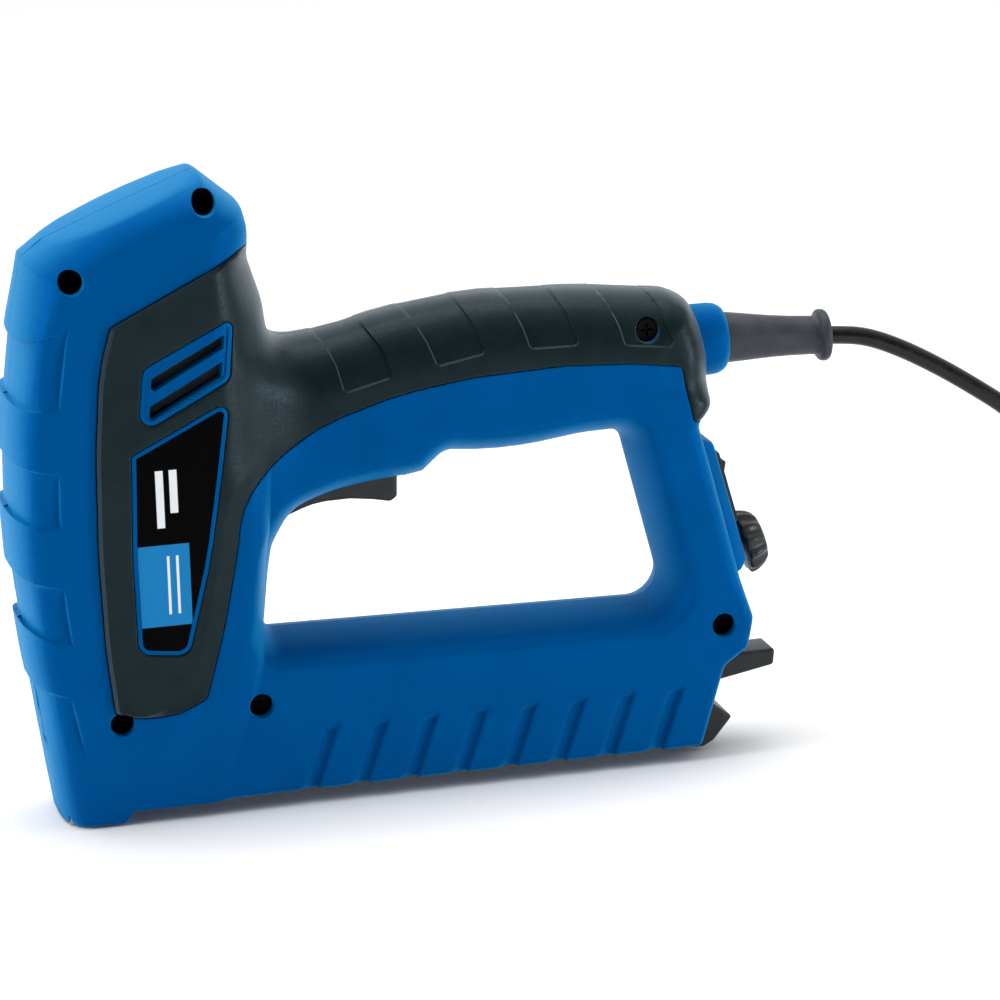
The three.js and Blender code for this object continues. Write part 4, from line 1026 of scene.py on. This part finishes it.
def moulded_blue():
    """Fine-grained ABS: deep blue face on, with a painted sheen that makes it lighter and more cyan where it
    turns away.
    """
    surface = Surface("moulded_blue", metallic=0.18, specular=0.03)
    surface.set("Specular Tint", srgb(20, 180, 240))
    tone = surface.mottled(18, 3, srgb(0, 76, 138), srgb(0, 80, 144))
    # Painted sheen: lighter cyan blue where the surface turns away from view.
    surface.set("Base Color", surface.turned(tone, srgb(14, 126, 180), 0.5, 0.28, 0.9))
    surface.set("Roughness", surface.span(surface.noise(0.5), 0.34, 0.52))
    surface.bump(surface.noise(0.45, 3), 0.11)
    return surface.material


def soft_grip():
    """Matt rubber with a fine skin grain, and a painted sheen that makes it lighter and greyer where the
    surface turns away.
    """
    surface = Surface("soft_grip", specular=0.2)
    surface.set("Specular Tint", srgb(200, 235, 255))
    tone = surface.mottled(9, 4, srgb(8, 21, 22), srgb(16, 29, 29))
    # Painted sheen: light grey where the surface turns away from view.
    surface.set("Base Color", surface.turned(tone, srgb(96, 110, 120), 0.45, 0.35, 1))
    surface.set("Roughness", surface.span(surface.noise(1.1, 3), 0.32, 0.46))
    surface.bump(surface.noise(0.5, 4), 0.06)
    return surface.material


# Print on the label: low x, low z, high x and high z of each patch.
LABEL_BLOCK = (16, 63.8, 34.4, 89.6)
LABEL_BARS = ((25, 95, 27.4, 113), (29.2, 99.5, 31.6, 113), (27.4, 67.5, 28.2, 86), (30.2, 67.5, 31, 86))


def gloss_label():
    """Gloss black plate with a printed pale-blue block and plain pale bars."""
    surface = Surface("gloss_label", specular=0.02)
    split = surface.add("SeparateXYZ", {0: surface.place})
    blur = 0.08

    def between(axis, low, high):
        first = surface.span(split.outputs[axis], 0, 1, (low - blur) * MM, (low + blur) * MM)
        second = surface.span(split.outputs[axis], 1, 0, (high - blur) * MM, (high + blur) * MM)
        return surface.product(first, second)

    def printed(low_x, low_z, high_x, high_z):
        return surface.product(between("X", low_x, high_x), between("Z", low_z, high_z))

    color = surface.blend(printed(*LABEL_BLOCK), srgb(3, 3, 4), srgb(30, 122, 182))
    for bar in LABEL_BARS:
        color = surface.blend(printed(*bar), color, srgb(225, 230, 234))
    surface.set("Base Color", color)
    surface.set("Roughness", surface.span(surface.noise(6, 3), 0.12, 0.2))
    return surface.material


def plain_plastic(name, color, roughness, edge=None, grain_mm=0.5, depth_mm=0.03):
    """Moulded plastic or rubber with a fine grain; edge is the colour of a painted sheen where it turns away.
    """
    surface = Surface(name, specular=0.25)
    lighter = tuple(min(1, channel * 1.5 + 0.004) for channel in srgb(*color)[:3]) + (1,)
    tone = surface.mottled(7, 3, srgb(*color), lighter)
    # Painted sheen towards the edge colour where the surface turns away.
    if edge:
        tone = surface.turned(tone, srgb(*edge), 0.4, 0.5, 1)
    surface.set("Base Color", tone)
    surface.set("Roughness", surface.span(surface.noise(1.2), roughness - 0.06, roughness + 0.08))
    surface.bump(surface.noise(grain_mm, 3), depth_mm)
    return surface.material


def brushed_metal(name, color, roughness, stretch=30):
    """Rolled or ground metal: fine lines across one axis, and soft tarnish."""
    surface = Surface(name, metallic=1)
    mapping = surface.add("Mapping", {"Scale": (1, 1, stretch), "Vector": surface.place})
    lines = surface.add("TexNoise", {"Scale": 900, "Vector": mapping.outputs[0]}).outputs["Fac"]
    dark = tuple(channel * 0.7 for channel in srgb(*color)[:3]) + (1,)
    surface.set("Base Color", surface.mottled(5, 4, dark, srgb(*color)))
    surface.set("Roughness", surface.span(lines, roughness - 0.08, roughness + 0.12))
    surface.bump(lines, 0.01)
    return surface.material


# Colour, roughness and, where given, the painted sheen's colour where the surface turns away, the grain's
# size and its depth.
PLASTICS = {
    "black_plastic": ((30, 34, 35), 0.46, (90, 96, 98)),
    "dial_plastic": ((30, 34, 35), 0.34, (96, 104, 108)),
    "nylon": ((214, 208, 192), 0.5),
    "sleeve_rubber": ((44, 48, 54), 0.5, (92, 98, 106), 0.6, 0.05),
    "cord_sheath": ((14, 15, 17), 0.2, (150, 156, 160), 2, 0.02),
    "brown_wire": ((92, 54, 34), 0.45),
    "blue_wire": ((44, 96, 172), 0.45),
    "board_green": ((30, 88, 52), 0.4),
}
METALS = {
    "bright_steel": ((190, 192, 194), 0.3),
    "black_steel": ((20, 20, 22), 0.5),
    "copper_wire": ((190, 98, 52), 0.35, 60),
    "aluminium": ((196, 198, 200), 0.34),
}
FINISHES = {"housing_blue": moulded_blue(), "soft_grip": soft_grip(), "label_gloss": gloss_label()}
FINISHES.update({name: plain_plastic(name, *recipe) for name, recipe in PLASTICS.items()})
FINISHES.update({name: brushed_metal(name, *recipe) for name, recipe in METALS.items()})


def paint(obj, slot):
    obj.data.materials.clear()
    obj.data.materials.append(FINISHES[slot])


BODY_OF = {node: body for body, nodes in frame["record"]["behaviour"]["bodies"].items() for node in nodes}


def stand_for(obj, node, slot):
    """Paints a piece, rides it on its node's body and puts it in the node's place."""
    paint(obj, slot)
    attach(obj, BODY_OF[node])
    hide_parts(node)


def dress_cad_nodes():
    """CAD nodes that stay keep their shape and get a procedural finish in place of their flat one."""
    for node in frame["nodes"].values():
        for slot in node.material_slots:
            name = slot.material.name.split(".")[0] if slot.material else "bright_steel"
            slot.material = FINISHES.get(name, FINISHES["bright_steel"])


# ---- build

dress_cad_nodes()
for side_name, side, shell, grip, label in housing_pieces():
    join_into(shell, cord_boss(side))
    stand_for(shell, f"{side_name}_shell", "housing_blue")
    stand_for(grip, f"{side_name}_grip", "soft_grip")
    stand_for(label, f"{side_name}_label", "label_gloss")

# Black sheets behind the vents: painted shade in the slots.
for side_name, side in SIDES:
    shade_sheet = vent_screen(side_name, side)
    paint(shade_sheet, "black_plastic")
    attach(shade_sheet, BODY_OF[f"{side_name}_shell"])

# Each of these functions has the name of the node that its piece stands for.
for maker, slot in (
    (trigger, "black_plastic"),
    (magazine_latch, "black_plastic"),
    (magazine_end_cap, "black_plastic"),
    (power_rocker, "black_plastic"),
    (control_panel, "housing_blue"),
    (power_dial, "dial_plastic"),
    (cord_sleeve, "sleeve_rubber"),
    (power_cord, "cord_sheath"),
    (circuit_board, "board_green"),
):
    stand_for(maker(), maker.__name__, slot)

# Springs: ends, coil radius, wire radius, turns, the joint that presses them, the fixed end and what is left.
for node, start, end, radius, wire, turns, joint, fixed, keep in (
    ("return_spring", (14, 0, 138.3), (14, 0, 161.7), 11.3, 0.6, 5, "driver_stroke", 0, 0.31),
    ("trigger_spring", (81, 0, 108.3), (81, 0, 119), 2.4, 0.35, 5, "trigger_pull", 1, 0.82),
    ("latch_spring", (188.6, 0, 29.6), (188.6, 0, 34), 2, 0.3, 3, "latch_press", 1, 0.7),
    ("pusher_spring", (30.3, 0, 9.4), (190, 0, 9.4), 2.3, 0.4, 34, "pusher_travel", 1, 0.37),
):
    spring = coil(f"{node}_skin", start, end, radius, wire, turns)
    stand_for(spring, node, "bright_steel")
    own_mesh(spring)

# ---- floor, lights and camera

TARGET = Vector((137.924, 0, 85.787)) * MM
AWAY = 1560 * MM
FLOOR_REACH = 6  # metres
AZIMUTH, ELEVATION, ROLL = (math.radians(a) for a in (13, 14, 2.5))


def add_camera():
    flat = math.cos(ELEVATION)
    ahead = Vector((math.sin(AZIMUTH) * flat, math.cos(AZIMUTH) * flat, -math.sin(ELEVATION)))
    level = Vector((math.cos(AZIMUTH), -math.sin(AZIMUTH), 0))
    above = level.cross(ahead)
    right = level * math.cos(ROLL) - above * math.sin(ROLL)
    up = level * math.sin(ROLL) + above * math.cos(ROLL)
    data = bpy.data.cameras.new("camera")
    data.lens = 180
    data.sensor_width = 36
    data.clip_end = 20
    turn = Matrix((right, up, -ahead)).transposed().to_4x4()
    scene.camera = linked("camera", data)
    scene.camera.matrix_world = Matrix.Translation(TARGET - ahead * AWAY) @ turn


def area_light(name, place, size, power):
    data = bpy.data.lights.new(name, "AREA")
    data.shape = "RECTANGLE"
    data.size, data.size_y = size
    data.energy = power
    light = linked(name, data)
    light.location = place
    light.rotation_mode = "QUATERNION"
    light.rotation_quaternion = (TARGET - Vector(place)).to_track_quat("-Z", "Y")


def light_tent(tree):
    """White paper all round, as the camera sees it, but dim light from the camera's own side."""
    place = add_node(tree, "TexCoord", {}).outputs["Generated"]
    toward = add_node(tree, "VectorMath", {0: place, 1: (0.1, -0.98, -0.15)}, operation="DOT_PRODUCT")
    ends = {"From Min": -0.1, "From Max": 0.8, "To Min": 1.15, "To Max": 0.13}
    inputs = {"Value": toward.outputs["Value"], **ends}
    fade = add_node(tree, "MapRange", inputs, interpolation_type="SMOOTHSTEP").outputs["Result"]
    seen = add_node(tree, "LightPath", {}).outputs["Is Camera Ray"]
    back = tree.nodes["Background"]
    feed(tree, back.inputs["Color"], (1, 1, 1, 1))
    feed(tree, back.inputs["Strength"], add_node(tree, "Mix", {0: seen, 2: fade, 3: 1.05}).outputs[0])


def add_stage():
    mesh = bpy.data.meshes.new("floor")
    corners = [(x * FLOOR_REACH, y * FLOOR_REACH, 0) for x, y in ((-1, -1), (1, -1), (1, 1), (-1, 1))]
    mesh.from_pydata(corners, [], [(0, 1, 2, 3)])
    floor = linked("floor", mesh)
    surface = Surface("pale_floor", specular=0.1)
    surface.set("Base Color", srgb(246, 246, 246))
    surface.set("Roughness", 0.9)
    floor.data.materials.append(surface.material)
    world = bpy.data.worlds.new("studio")
    world.use_nodes = True
    light_tent(world.node_tree)
    scene.world = world
    scene.view_settings.view_transform = "Standard"


add_camera()
add_stage()
area_light("front_left", (-1.5, -0.2, 0.7), (0.6, 0.9), 13)
area_light("overhead", (0.1, 0.2, 1.6), (1.5, 0.8), 13)
area_light("low_right", (1.25, -0.8, 0.12), (0.25, 0.25), 7)
